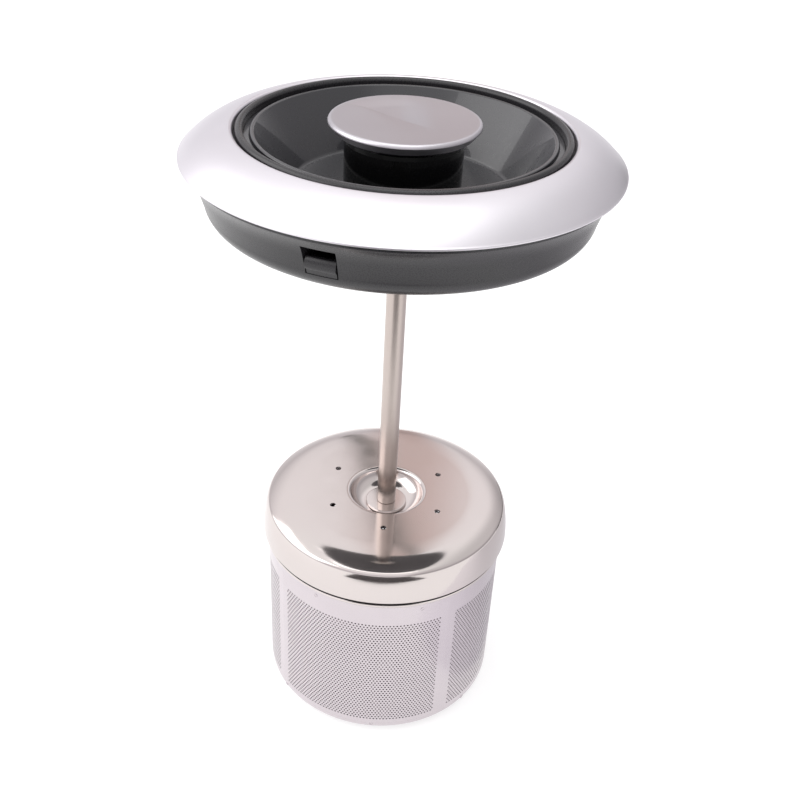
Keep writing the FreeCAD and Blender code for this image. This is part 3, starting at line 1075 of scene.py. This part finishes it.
@dataclass(frozen=True)
class BasketLid:
    """The pressed lid of the basket."""

    sheet: float = 0.5
    flat_radius: float = 26.3
    knee: tuple[float, float, float] = (32.0, 0.14, 0.04)
    crest: tuple[float, float, float] = (38.04, 1.75, 0.328)
    corner: tuple[float, float, float] = (38.91, 2.74, 0.125)
    flank: tuple[float, float, float] = (39.41, 4.48, 0.032)
    skirt: tuple[float, float, float] = (40.3, 12.0, 0.173)
    skirt_lift: float = 0.9
    dish_radius: float = 12.9
    dish_floor: float = 7.3
    dish_hollow: float = 0.8
    rim_width: float = 1.3
    rim_drop: float = 1.0
    rim_bow: float = 0.3
    dish_depth: float = 4.7
    bore: float = 2.1
    vent_count: int = 6
    vent_radius: float = 0.95
    vent_circle: float = 19.4
    vent_sides: int = 24
    drill_sheets: float = 4.0
    lip_round: float = 0.5
    lip_inset: float = 0.6
    foot_inset: float = 0.3
    flat_inset: float = 1.0
    flat_start: float = 0.4

    def vents(self) -> TreeInputs:
        """The tree that pierces the vents.

        Returns:
            The tree with its inputs.
        """
        inputs = TreeInputs(
            "vents",
            {
                "Count": (WHOLE, self.vent_count),
                "Circle Radius": (FLOAT, self.vent_circle * MM),
                "Vent Radius": (FLOAT, self.vent_radius * MM),
                "Height": (FLOAT, top_of("basket_lid") * MM),
                "Material": (MATERIAL, BUFFED_STAINLESS.build()),
            },
        )
        add, socket = inputs.add, inputs.socket
        drill = add(
            "GeometryNodeMeshCylinder",
            {
                "Vertices": self.vent_sides,
                "Radius": socket("Vent Radius"),
                "Depth": self.drill_sheets * self.sheet * MM,
            },
        )
        circle = add(
            "GeometryNodeMeshCircle", {"Vertices": socket("Count"), "Radius": socket("Circle Radius")}
        )
        height = add("ShaderNodeCombineXYZ", {"Z": socket("Height")})
        places = add(
            "GeometryNodeTransform",
            {"Geometry": circle, "Translation": height, "Rotation": (0.0, 0.0, math.radians(-90))},
        )
        drills = add("GeometryNodeInstanceOnPoints", {"Points": places, "Instance": drill})
        real = add("GeometryNodeRealizeInstances", {0: drills})
        pierced = add(
            "GeometryNodeMeshBoolean",
            {0: socket("Geometry"), 1: real},
            operation="DIFFERENCE",
            solver="EXACT",
        )
        inputs.finish(pierced)
        return inputs

    def build(self) -> bpy.types.Object:
        """Makes the lid: skirt, rounded shoulder, low dome and dish, then the vents.

        Returns:
            The lid.
        """
        radius = radius_of("basket_lid")
        low = foot_of("basket_lid") + self.skirt_lift
        top = top_of("basket_lid")
        floor = top - self.dish_depth
        under = floor - self.sheet
        dish_foot = Corner(self.dish_floor, floor)
        dish_lip = Corner(self.dish_radius - self.rim_width, top - self.rim_drop)
        under_lip = Corner(dish_lip.r + self.lip_inset, dish_lip.z - self.lip_round, self.lip_round)
        under_foot = Corner(self.dish_floor + self.foot_inset, under)
        rim = Corner(self.dish_radius, top)
        outside = [
            rim,
            Corner(rim.r + self.flat_start, top),
            Corner(self.flat_radius - self.flat_inset, top),
            Corner(self.flat_radius, top),
        ]
        ceiling = top - self.sheet
        inside = [Corner(rim.r + self.flat_inset, ceiling), Corner(self.flat_radius, ceiling)]
        for reach, drop, bow in (self.knee, self.crest, self.corner, self.flank, self.skirt):
            end = Corner(min(reach, radius), top - drop)
            outside += [*bowed(outside[-1], end, bow), end]
            inward = self.sheet * smooth(drop / self.corner[1])
            downward = self.sheet if drop < self.corner[1] else 0.0
            inner = Corner(end.r - inward, end.z - downward)
            inside += [*bowed(inside[-1], inner, bow), inner]
        section = [
            Corner(self.bore, floor),
            dish_foot,
            *bowed(dish_foot, dish_lip, -self.dish_hollow, 12),
            dish_lip,
            *bowed(dish_lip, rim, self.rim_bow, 8),
            *outside,
            Corner(radius, low, 0.15),
            Corner(radius - self.sheet, low),
            *reversed(inside),
            under_lip,
            *bowed(under_lip, under_foot, self.dish_hollow, 12),
            under_foot,
            Corner(self.bore, under),
        ]
        lid = turned("basket_cover", section, WIDE_SEGMENTS)
        self.vents().run_on(lid)
        return dress(lid, BUFFED_STAINLESS, Body.PLUNGER, Slot.POLISHED, "basket_lid")


# ---- basket -----------------------------------------------------------------
@dataclass(frozen=True)
class Basket:
    """The infuser basket: rim, perforated wall and base."""

    sheet: float = 0.5
    flange: float = 38.05
    neck: float = 39.7
    bead: float = 0.55
    bead_drop: float = 0.3
    # Height of the dark band of painted shade on the neck, just above the bead.
    shade_band: float = 1.3
    slot: float = 0.6
    wall_drop: float = 0.6
    foot_in: float = 6.0
    foot_steps: int = 12
    ledge_lift: float = 0.001
    corner: float = 4.4
    base_sheet: float = 0.6
    base_flange: float = 3.4
    pitch: float = 1.1
    hole: float = 0.295
    hole_sides: int = 8
    wall_sheet: float = 0.3
    edge_cuts: int = 95
    columns: int = 50
    rows: int = 46
    window_foot: float = 2.2
    window_turn: float = -9.75
    quarters: int = 4
    weld_count: int = 7
    weld_first: float = -30.6
    weld_radius: float = 0.55
    weld_ridge: float = 0.09
    weld_sides: int = 20
    ridge_sides: int = 8
    rim_weld_drop: float = 2.4
    base_weld_drop: float = 0.5
    base_weld_turn: float = 30.0

    def rim(self) -> list[bpy.types.Object]:
        """The rim: flange inside the wall and rolled bead, a dark band of painted shade low on the neck,
        and the neck above it.

        Returns:
            The three pieces.
        """
        low = foot_of("basket_rim")
        seat = top_of("basket_wall") - self.wall_drop + self.slot
        bead_top = foot_of("basket_lid") - self.bead_drop
        shade_band_top = bead_top + self.shade_band
        inside = self.neck - self.sheet
        start = Corner(radius_of("basket_wall"), seat)
        end = Corner(self.neck, bead_top)
        bead = [
            Corner(self.flange - self.sheet, low),
            Corner(self.flange, low),
            Corner(self.flange, seat),
            start,
            *bowed(start, end, -self.bead, 16),
            end,
            Corner(inside, bead_top),
            Corner(inside, seat + self.sheet, 0.2),
            Corner(self.flange - self.sheet, seat + self.sheet, 0.3),
        ]
        # A dark band on the neck just above the bead: painted shade, for the gap under the lid's skirt.
        shade_band = sleeve(inside, self.neck, bead_top, shade_band_top)
        neck = sleeve(inside, self.neck, shade_band_top, top_of("basket_rim"), 0.2)
        return [
            dress(turned(name, section), finish, Body.BASKET, Slot.BASKET, "basket_rim")
            for name, section, finish in (
                ("basket_bead", bead, BUFFED_STAINLESS),
                ("basket_neck_painted_shade", shade_band, SHADED_INSIDE_STAINLESS),
                ("basket_neck", neck, ROLLED_STAINLESS),
            )
        ]

    def base(self) -> bpy.types.Object:
        """The pressed base with its rounded corner.

        Returns:
            The base.
        """
        outer = radius_of("basket_base")
        inner = self.flange - self.base_sheet
        ledge = self.corner + self.ledge_lift
        top = self.corner + self.base_flange
        turns = (math.radians(90 / self.foot_steps * step) for step in range(self.foot_steps + 1))
        foot = [
            Corner(outer - self.foot_in * (1 - math.sin(t)), self.corner * (1 - math.cos(t))) for t in turns
        ]
        section = [
            Corner(0.0, 0.0),
            *foot,
            Corner(outer, ledge),
            Corner(self.flange, ledge),
            Corner(self.flange, top),
            Corner(inner, top),
            Corner(inner, self.base_sheet, self.corner - self.base_sheet),
            Corner(0.0, self.base_sheet),
        ]
        base = turned("basket_foot", section)
        return dress(base, ROLLED_STAINLESS, Body.BASKET, Slot.BASKET, "basket_base")

    def perforation(self, turn: float) -> TreeInputs:
        """The tree that makes one quarter of the wall, pierced and bent round.

        Args:
            turn: Angle of the quarter's middle from the front.

        Returns:
            The tree with its inputs.
        """
        radius = radius_of("basket_wall")
        foot = foot_of("basket_wall")
        height = top_of("basket_wall") - self.wall_drop - foot
        inputs = TreeInputs(
            "perforated_sheet",
            {
                "Sheet Width": (FLOAT, math.tau * radius / self.quarters * MM),
                "Sheet Height": (FLOAT, height * MM),
                "Window Foot": (FLOAT, self.window_foot * MM),
                "Columns": (WHOLE, self.columns),
                "Rows": (WHOLE, self.rows),
                "Pitch": (FLOAT, self.pitch * MM),
                "Hole Radius": (FLOAT, self.hole * MM),
                "Hole Sides": (WHOLE, self.hole_sides),
                "Thickness": (FLOAT, self.wall_sheet * MM),
                "Outer Radius": (FLOAT, radius * MM),
                "Foot Height": (FLOAT, foot * MM),
                "Turn": (FLOAT, math.radians(turn)),
                "Inside": (MATERIAL, SHADED_INSIDE_STAINLESS.build()),
                "Material": (MATERIAL, ROLLED_STAINLESS.build()),
            },
        )
        add, socket = inputs.add, inputs.socket
        point = add("GeometryNodeInputPosition")
        place = add_node(inputs.tree, "ShaderNodeSeparateXYZ", {0: point})

        row_pitch = add(MATH, {0: socket("Pitch"), 1: math.sqrt(3) / 2}, operation="MULTIPLY")
        gaps_across = add(MATH, {0: socket("Columns"), 1: 1.0}, operation="SUBTRACT")
        gaps_up = add(MATH, {0: socket("Rows"), 1: 1.0}, operation="SUBTRACT")
        lattice_width = add(MATH, {0: gaps_across, 1: socket("Pitch")}, operation="MULTIPLY")
        lattice_height = add(MATH, {0: gaps_up, 1: row_pitch}, operation="MULTIPLY")
        lattice = add(
            "GeometryNodeMeshGrid",
            {
                "Size X": lattice_width,
                "Size Y": lattice_height,
                "Vertices X": socket("Columns"),
                "Vertices Y": socket("Rows"),
            },
        )

        half_lattice = add(MATH, {0: lattice_height, 1: 0.5}, operation="MULTIPLY")
        half_sheet = add(MATH, {0: socket("Sheet Height"), 1: 0.5}, operation="MULTIPLY")
        half_pitch = add(MATH, {0: socket("Pitch"), 1: 0.5}, operation="MULTIPLY")
        up = add(MATH, {0: place.outputs["Y"], 1: half_lattice}, operation="ADD")
        rows_up = add(MATH, {0: up, 1: row_pitch}, operation="DIVIDE")
        row = add(MATH, {0: rows_up}, operation="ROUND")
        odd = add(MATH, {0: row, 1: 2.0}, operation="MODULO")
        side = add(MATH, {0: odd, 1: 0.5}, operation="SUBTRACT")
        middle = add(MATH, {0: socket("Window Foot"), 1: half_lattice}, operation="ADD")
        offset = add(
            "ShaderNodeCombineXYZ",
            {
                "X": add(MATH, {0: side, 1: half_pitch}, operation="MULTIPLY"),
                "Y": add(MATH, {0: middle, 1: half_sheet}, operation="SUBTRACT"),
            },
        )
        staggered = add("GeometryNodeSetPosition", {"Geometry": lattice, "Offset": offset})

        hole = add(
            "GeometryNodeCurvePrimitiveCircle",
            {"Resolution": socket("Hole Sides"), "Radius": socket("Hole Radius")},
        )
        cell = add("GeometryNodeCurvePrimitiveQuadrilateral", {0: socket("Pitch"), 1: row_pitch})
        halved = add("GeometryNodeSubdivideCurve", {"Curve": cell, "Cuts": 1})
        pierced = add("GeometryNodeJoinGeometry", {0: [hole, halved]})
        tiled = []
        for lines, faces in ((pierced, "TRIANGLES"), (halved, "NGONS")):
            tile = add("GeometryNodeFillCurve", {0: lines}, mode=faces)
            tiles = add("GeometryNodeInstanceOnPoints", {"Points": staggered, "Instance": tile})
            real = add("GeometryNodeRealizeInstances", {0: tiles})
            tiled.append(add("GeometryNodeMergeByDistance", {"Geometry": real, "Distance": SEAM}))
        window, blank = tiled

        neighbours = add("GeometryNodeInputMeshEdgeNeighbors")
        outer = add("FunctionNodeCompare", {2: neighbours, 3: 1}, data_type="INT", operation="EQUAL")
        outline = add("GeometryNodeMeshToCurve", {"Mesh": blank, "Selection": outer})
        edge = add(
            "GeometryNodeCurvePrimitiveQuadrilateral", {0: socket("Sheet Width"), 1: socket("Sheet Height")}
        )
        fine_edge = add("GeometryNodeSubdivideCurve", {"Curve": edge, "Cuts": self.edge_cuts})
        lines = add("GeometryNodeJoinGeometry", {0: [outline, fine_edge]})
        border = add("GeometryNodeFillCurve", {0: lines}, mode="TRIANGLES")
        joined = add("GeometryNodeJoinGeometry", {0: [window, border]})
        flat = add("GeometryNodeMergeByDistance", {"Geometry": joined, "Distance": SEAM})

        # The inner face gets the dark grey sheet: painted shade for the basket's inside, seen through the
        # holes.
        inside = add("GeometryNodeFlipFaces", {0: flat})
        shaded_inside = add("GeometryNodeSetMaterial", {"Geometry": inside, "Material": socket("Inside")})
        outward = add("ShaderNodeCombineXYZ", {"Z": 1.0})
        outside = add(
            "GeometryNodeExtrudeMesh",
            {"Mesh": flat, "Offset": outward, "Offset Scale": socket("Thickness"), "Individual": False},
            mode="FACES",
        )
        faced = add("GeometryNodeSetMaterial", {"Geometry": outside, "Material": socket("Material")})
        both = add("GeometryNodeJoinGeometry", {0: [shaded_inside, faced]})
        welded = add("GeometryNodeMergeByDistance", {"Geometry": both, "Distance": SEAM})

        along = add(MATH, {0: place.outputs["X"], 1: socket("Outer Radius")}, operation="DIVIDE")
        angle = add(MATH, {0: along, 1: socket("Turn")}, operation="ADD")
        inner = add(MATH, {0: socket("Outer Radius"), 1: socket("Thickness")}, operation="SUBTRACT")
        reach = add(MATH, {0: inner, 1: place.outputs["Z"]}, operation="ADD")
        sine = add(MATH, {0: angle}, operation="SINE")
        cosine = add(MATH, {0: angle}, operation="COSINE")
        backwards = add(MATH, {0: reach, 1: cosine}, operation="MULTIPLY")
        height = add(MATH, {0: place.outputs["Y"], 1: half_sheet}, operation="ADD")
        bent = add(
            "ShaderNodeCombineXYZ",
            {
                "X": add(MATH, {0: reach, 1: sine}, operation="MULTIPLY"),
                "Y": add(MATH, {0: backwards, 1: -1.0}, operation="MULTIPLY"),
                "Z": add(MATH, {0: height, 1: socket("Foot Height")}, operation="ADD"),
            },
        )
        inputs.end(add("GeometryNodeSetPosition", {"Geometry": welded, "Position": bent}))
        return inputs

    def wall(self) -> list[bpy.types.Object]:
        """The four quarters of the perforated wall.

        Returns:
            The quarters.
        """
        made = []
        for quarter in range(self.quarters):
            turn = self.window_turn + 360.0 * quarter / self.quarters
            sheet = empty_object(f"basket_wall_quarter_{quarter + 1}")
            self.perforation(turn).run_on(sheet)
            made.append(dress(sheet, None, Body.BASKET, Slot.BASKET, "basket_wall"))
        return made

    def welds(self, name: str, height: float, first: float) -> bpy.types.Object:
        """A ring of spot-weld marks on the wall.

        Args:
            name: The piece's name.
            height: Its height.
            first: Angle of the first mark from the front.

        Returns:
            The marks as one piece.
        """
        inputs = TreeInputs(
            name,
            {
                "Count": (WHOLE, self.weld_count),
                "Wall Radius": (FLOAT, radius_of("basket_wall") * MM),
                "Height": (FLOAT, height * MM),
                "Mark Radius": (FLOAT, self.weld_radius * MM),
                "Ridge": (FLOAT, self.weld_ridge * MM),
                "Material": (MATERIAL, ROLLED_STAINLESS.build()),
            },
        )
        add, socket = inputs.add, inputs.socket
        circle, bar = (
            add("GeometryNodeCurvePrimitiveCircle", {"Resolution": sides, "Radius": socket(radius)})
            for sides, radius in ((self.weld_sides, "Mark Radius"), (self.ridge_sides, "Ridge"))
        )
        ridge = add("GeometryNodeCurveToMesh", {"Curve": circle, "Profile Curve": bar})
        places = add(
            "GeometryNodeMeshCircle", {"Vertices": socket("Count"), "Radius": socket("Wall Radius")}
        )
        point = add("GeometryNodeInputPosition")
        facing = add("FunctionNodeAlignRotationToVector", {"Vector": point}, axis="Z")
        marks = add(
            "GeometryNodeInstanceOnPoints", {"Points": places, "Instance": ridge, "Rotation": facing}
        )
        lift = add("ShaderNodeCombineXYZ", {"Z": socket("Height")})
        lifted = add(
            "GeometryNodeTransform",
            {"Geometry": marks, "Translation": lift, "Rotation": (0.0, 0.0, math.radians(first - 90))},
        )
        inputs.finish(lifted)
        return dress(inputs.run_on(empty_object(name)), ROLLED_STAINLESS, Body.BASKET, Slot.BASKET)

    def build(self) -> list[bpy.types.Object]:
        """Makes the basket's pieces.

        Returns:
            All of its pieces.
        """
        rim_height = top_of("basket_wall") - self.rim_weld_drop
        base_height = self.corner - self.base_weld_drop
        return [
            *self.rim(),
            self.base(),
            *self.wall(),
            self.welds("rim_welds", rim_height, self.weld_first),
            self.welds("base_welds", base_height, self.weld_first + self.base_weld_turn),
        ]


# ---- nodes that are shown as they are ---------------------------------------
NODE_FINISHES = {
    "lid_base": MOULDED_POLYPROPYLENE,
    "rod_bush": MOULDED_ACETAL,
    "grip_ring": MOULDED_NITRILE,
    "bush_nut": TURNED_STEEL,
    "knob_stem": POLISHED_BLACK_ABS,
    "knob_washer": TURNED_STEEL,
    "knob_screw": TURNED_STEEL,
    "clamp_washer": TURNED_STEEL,
    "cap_nut": TURNED_STEEL,
}


def dress_nodes(nodes: dict[str, bpy.types.Object]) -> None:
    """Gives the nodes that are shown as they are their finishes.

    Args:
        nodes: The construction's nodes by name.
    """
    for name, finish in NODE_FINISHES.items():
        mesh = nodes[name].data
        mesh.materials.clear()
        mesh.materials.append(finish.build())
        log.info("node %s: %s", name, finish.name)


# ---- studio -----------------------------------------------------------------
def aimed(name: str, data: bpy.types.ID, place: Vector, aim: Vector) -> bpy.types.Object:
    """Links a light or a card that faces a point, unseen by the camera.

    Args:
        name: The object's name.
        data: The light or mesh.
        place: Where it stands, in metres.
        aim: The point it faces, in metres.

    Returns:
        The object.
    """
    thing = bpy.data.objects.new(name, data)
    thing.location = place
    thing.rotation_euler = (aim - place).to_track_quat("-Z", "Y").to_euler()
    thing.visible_camera = False
    bpy.context.scene.collection.objects.link(thing)
    return thing


@dataclass(frozen=True)
class Softbox:
    """A soft light, aimed at a point."""

    name: str
    place: tuple[float, float, float]
    aim: tuple[float, float, float]
    width: float
    height: float
    watts: float
    colour: str = "#FFFFFF"

    def build(self) -> None:
        """Adds the light."""
        lamp = bpy.data.lights.new(self.name, "AREA")
        lamp.shape = "RECTANGLE"
        lamp.size = self.width * MM
        lamp.size_y = self.height * MM
        lamp.energy = self.watts
        lamp.color = linear(self.colour)[:3]
        aimed(self.name, lamp, Vector(self.place) * MM, Vector(self.aim) * MM)


@dataclass(frozen=True)
class Card:
    """A flat card that shows only in what the shiny pieces mirror."""

    name: str
    corners: tuple[tuple[float, float, float], ...]
    colour: str

    def build(self) -> bpy.types.Object:
        """Adds the card.

        Returns:
            The card.
        """
        mesh = bpy.data.meshes.new(self.name)
        places = [Vector(corner) * MM for corner in self.corners]
        mesh.from_pydata(places, [], [range(len(places))])
        card = new_object(self.name, mesh)
        card.visible_camera = False
        card.visible_shadow = False
        card.visible_diffuse = False
        felt = Finish("felt_" + self.name, self.colour, self.colour, 0.0, 0.9, 1.0, (2.0, 2.0, 2.0), 0.0)
        mesh.materials.append(felt.build())
        card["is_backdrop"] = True
        return card


@dataclass(frozen=True)
class Studio:
    """Camera, floor, lights and surroundings."""

    lens: float = 47.56
    sensor: float = 36.0
    place: tuple[float, float, float] = (5.84, -273.9, 289.3)
    pitch: float = 33.401
    roll: float = 3.248
    yaw: float = -0.651
    nearest: float = 10.0
    farthest: float = 50000.0
    floor_size: float = 8000.0
    floor_drop: float = 0.02
    table_glow: float = 0.62
    mat: tuple[tuple[float, float, float], ...] = (
        (-120.0, -220.0, 0.5), (-900.0, -2500.0, 0.5), (1000.0, -2500.0, 0.5), (160.0, -220.0, 0.5)
    )
    side_card: tuple[tuple[float, float, float], ...] = (
        (44.0, -75.0, 0.4), (500.0, -75.0, 0.4), (500.0, 400.0, 0.4), (44.0, 200.0, 0.4)
    )
    far_card: tuple[tuple[float, float, float], ...] = (
        (700.0, 1330.0, 0.5), (1360.0, 640.0, 0.5), (1360.0, 640.0, 270.0), (700.0, 1330.0, 270.0)
    )
    side_fade: tuple[float, float] = (-75.0, 15.0)
    side_glow: tuple[float, float] = (1.08, 0.78)
    side_tint: str = "#FDFAFF"
    curtain_azimuth: float = 0.9
    curtain_half: float = 6.5
    curtain_reach: float = 3000.0
    curtain_foot: float = 0.5
    curtain_top: float = 9000.0
    curtain_tint: str = "#DAC9C3"
    sky: tuple[tuple[float, str], ...] = (
        (0.0, "#E6E4E7"), (0.3, "#D0CDD0"), (0.6, "#FBF8FA"), (0.95, "#FFFFFF")
    )
    sky_fade: tuple[float, float] = (0.24, 0.55)
    sky_glow: tuple[float, float] = (1.17, 0.80)
    boom_reach: float = 1500.0
    boom_width: float = 1.8
    boom_across: float = 0.9
    boom_upward: float = 0.45
    boom_centre: float = 70.0
    boom_ends: tuple[tuple[float, float], ...] = ((-7.9, 21.0), (-6.6, 25.8), (4.6, 49.9), (8.0, 56.0))
    lights: tuple[Softbox, ...] = (
        Softbox("overhead", (-60, 0, 1400), (0, 0, 120), 1000, 900, 3.0),
        Softbox("left", (-950, -60, 760), (0, 0, 120), 1400, 900, 6.0),
    )

    def camera(self) -> None:
        """Adds the camera."""
        pitch, roll, yaw = (math.radians(a) for a in (self.pitch, self.roll, self.yaw))
        ahead = Vector((math.sin(yaw) * math.cos(pitch), math.cos(yaw) * math.cos(pitch), -math.sin(pitch)))
        level = Vector((math.cos(yaw), -math.sin(yaw), 0))
        above = level.cross(ahead)
        right = math.cos(roll) * level + math.sin(roll) * above
        up = -math.sin(roll) * level + math.cos(roll) * above
        data = bpy.data.cameras.new("camera")
        data.sensor_fit = "HORIZONTAL"
        data.sensor_width = self.sensor
        data.lens = self.lens
        data.clip_start = self.nearest * MM
        data.clip_end = self.farthest * MM
        thing = bpy.data.objects.new("camera", data)
        turn = Matrix((right, up, -ahead)).transposed()
        thing.matrix_world = Matrix.Translation(Vector(self.place) * MM) @ turn.to_4x4()
        bpy.context.scene.collection.objects.link(thing)
        bpy.context.scene.camera = thing

    def floor(self) -> None:
        """Adds a plain pale light table, lit a little from below so that it stays white."""
        half = self.floor_size / 2 * MM
        mesh = bpy.data.meshes.new("floor")
        level = -self.floor_drop * MM
        corners = [(x * half, y * half, level) for x, y in ((-1, -1), (1, -1), (1, 1), (-1, 1))]
        mesh.from_pydata(corners, [], [(0, 1, 2, 3)])
        floor = new_object("floor", mesh)
        acrylic = Finish("opal_acrylic_table", "#B7B7B7", "#BBBBBB", 0.0, 0.8, 0.9, (3.0, 3.0, 3.0), 0.0)
        material = acrylic.build()
        shader = material.node_tree.nodes["Principled BSDF"]
        shader.inputs["Emission Color"].default_value = linear("#FFFFFF")
        shader.inputs["Emission Strength"].default_value = self.table_glow
        mesh.materials.append(material)
        floor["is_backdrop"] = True

    def boom(self) -> None:
        """Adds the thin dark boom behind and above, that the basket's lid mirrors."""
        half = self.boom_width / 2
        near, far = [], []
        for azimuth, height in self.boom_ends:
            for side, row in ((-1, near), (1, far)):
                a = math.radians(azimuth + side * half * self.boom_across)
                e = math.radians(height - side * half * self.boom_upward)
                level = self.boom_reach * math.cos(e)
                rise = self.boom_reach * math.sin(e) + self.boom_centre
                row.append((level * math.sin(a), level * math.cos(a), rise))
        Card("boom", (*near, *reversed(far)), "#5A5B57").build()

    def side(self) -> None:
        """Adds the grey card on the right, as bright as the table in front and dimmer behind."""
        card = Card("side_card", self.side_card, "#C4BFC4").build()
        tree = card.data.materials[0].node_tree
        place = add_node(tree, "ShaderNodeTexCoord").outputs["Object"]
        parts = add_node(tree, "ShaderNodeSeparateXYZ", {0: place})
        fade = add_node(
            tree,
            "ShaderNodeMapRange",
            {
                "Value": parts.outputs["Y"],
                "From Min": self.side_fade[0] * MM,
                "From Max": self.side_fade[1] * MM,
                "To Min": self.side_glow[0],
                "To Max": self.side_glow[1],
            },
            interpolation_type="SMOOTHSTEP",
        )
        colour = linear(self.side_tint)
        glow = add_node(tree, "ShaderNodeEmission", {"Color": colour, "Strength": fade.outputs[0]})
        tree.links.new(glow.outputs[0], tree.nodes["Material Output"].inputs["Surface"])

    def curtain(self) -> None:
        """Adds the sheer brown curtain behind, which tints what the shiny pieces mirror."""
        middle = self.curtain_reach * math.tan(math.radians(self.curtain_azimuth))
        half = self.curtain_reach * math.tan(math.radians(self.curtain_half))
        left, right = middle - half, middle + half
        low, high = self.curtain_foot, self.curtain_top
        sides = ((left, low), (right, low), (right, high), (left, high))
        corners = tuple((x, self.curtain_reach, z) for x, z in sides)
        card = Card("curtain", corners, self.curtain_tint).build()
        tree = card.data.materials[0].node_tree
        place = add_node(tree, "ShaderNodeTexCoord").outputs["Object"]
        parts = add_node(tree, "ShaderNodeSeparateXYZ", {0: place})
        off = add_node(
            tree, "ShaderNodeMath", {0: parts.outputs["X"], 1: middle * MM}, operation="SUBTRACT"
        )
        away = add_node(tree, "ShaderNodeMath", {0: off.outputs[0]}, operation="ABSOLUTE")
        clear = add_node(
            tree,
            "ShaderNodeMapRange",
            {"Value": away.outputs[0], "From Min": 0.0, "From Max": half * MM},
            interpolation_type="SMOOTHSTEP",
        )
        tint = add_node(
            tree,
            "ShaderNodeMix",
            {"Factor": clear.outputs[0], 6: linear(self.curtain_tint), 7: linear("#FFFFFF")},
            data_type="RGBA",
        )
        sheer = add_node(tree, "ShaderNodeBsdfTransparent", {"Color": tint.outputs[2]})
        tree.links.new(sheer.outputs[0], tree.nodes["Material Output"].inputs["Surface"])

    def surroundings(self) -> None:
        """Lights the world: even at the left, dimmer far right."""
        world = bpy.data.worlds.new("studio")
        world.use_nodes = True
        bpy.context.scene.world = world
        tree = world.node_tree
        place = add_node(tree, "ShaderNodeTexCoord").outputs["Generated"]
        parts = add_node(tree, "ShaderNodeSeparateXYZ", {0: place})
        ramp = add_node(tree, "ShaderNodeValToRGB", {"Fac": parts.outputs["Z"]})
        stops = ramp.color_ramp.elements
        for i in (0, -1):
            stops[i].position, stops[i].color = self.sky[i][0], linear(self.sky[i][1])
        for height, colour in self.sky[1:-1]:
            stops.new(height).color = linear(colour)
        side = add_node(
            tree,
            "ShaderNodeMapRange",
            {
                "Value": parts.outputs["X"],
                "From Min": self.sky_fade[0],
                "From Max": self.sky_fade[1],
                "To Min": self.sky_glow[0],
                "To Max": self.sky_glow[1],
            },
            interpolation_type="SMOOTHSTEP",
        )
        shader = tree.nodes["Background"]
        tree.links.new(ramp.outputs["Color"], shader.inputs["Color"])
        tree.links.new(side.outputs[0], shader.inputs["Strength"])

    def build(self) -> None:
        """Makes the studio."""
        bpy.context.scene.view_settings.view_transform = "Standard"
        self.camera()
        self.floor()
        self.surroundings()
        self.boom()
        self.curtain()
        Card("front_mat", self.mat, "#383435").build()
        self.side()
        Card("far_card", self.far_card, "#2C2A2B").build()
        for light in self.lights:
            light.build()


def main() -> None:
    """Builds the pieces in order and reports each."""
    logging.basicConfig(level=logging.INFO, format="%(name)s %(message)s")
    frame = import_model()
    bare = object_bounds()
    dress_nodes(frame["nodes"])
    lid = Lid()
    pieces = lid.build()
    pieces.append(LatchFinger(Body.LATCH_FRONT, lid.latch_angle, lid).build())
    pieces.append(LatchFinger(Body.LATCH_REAR, lid.latch_angle + 180, lid).build())
    pieces.append(KnobCap().build())
    pieces += Rod().build()
    pieces.append(BasketLid().build())
    pieces += Basket().build()
    for piece in pieces:
        piece.data.calc_loop_triangles()
        log.info("%s: %d triangles", piece.name, len(piece.data.loop_triangles))
    Studio().build()
    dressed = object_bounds()
    [[list(corner) for corner in box] for box in (bare, dressed)]


if __name__ == "__main__":
    main()
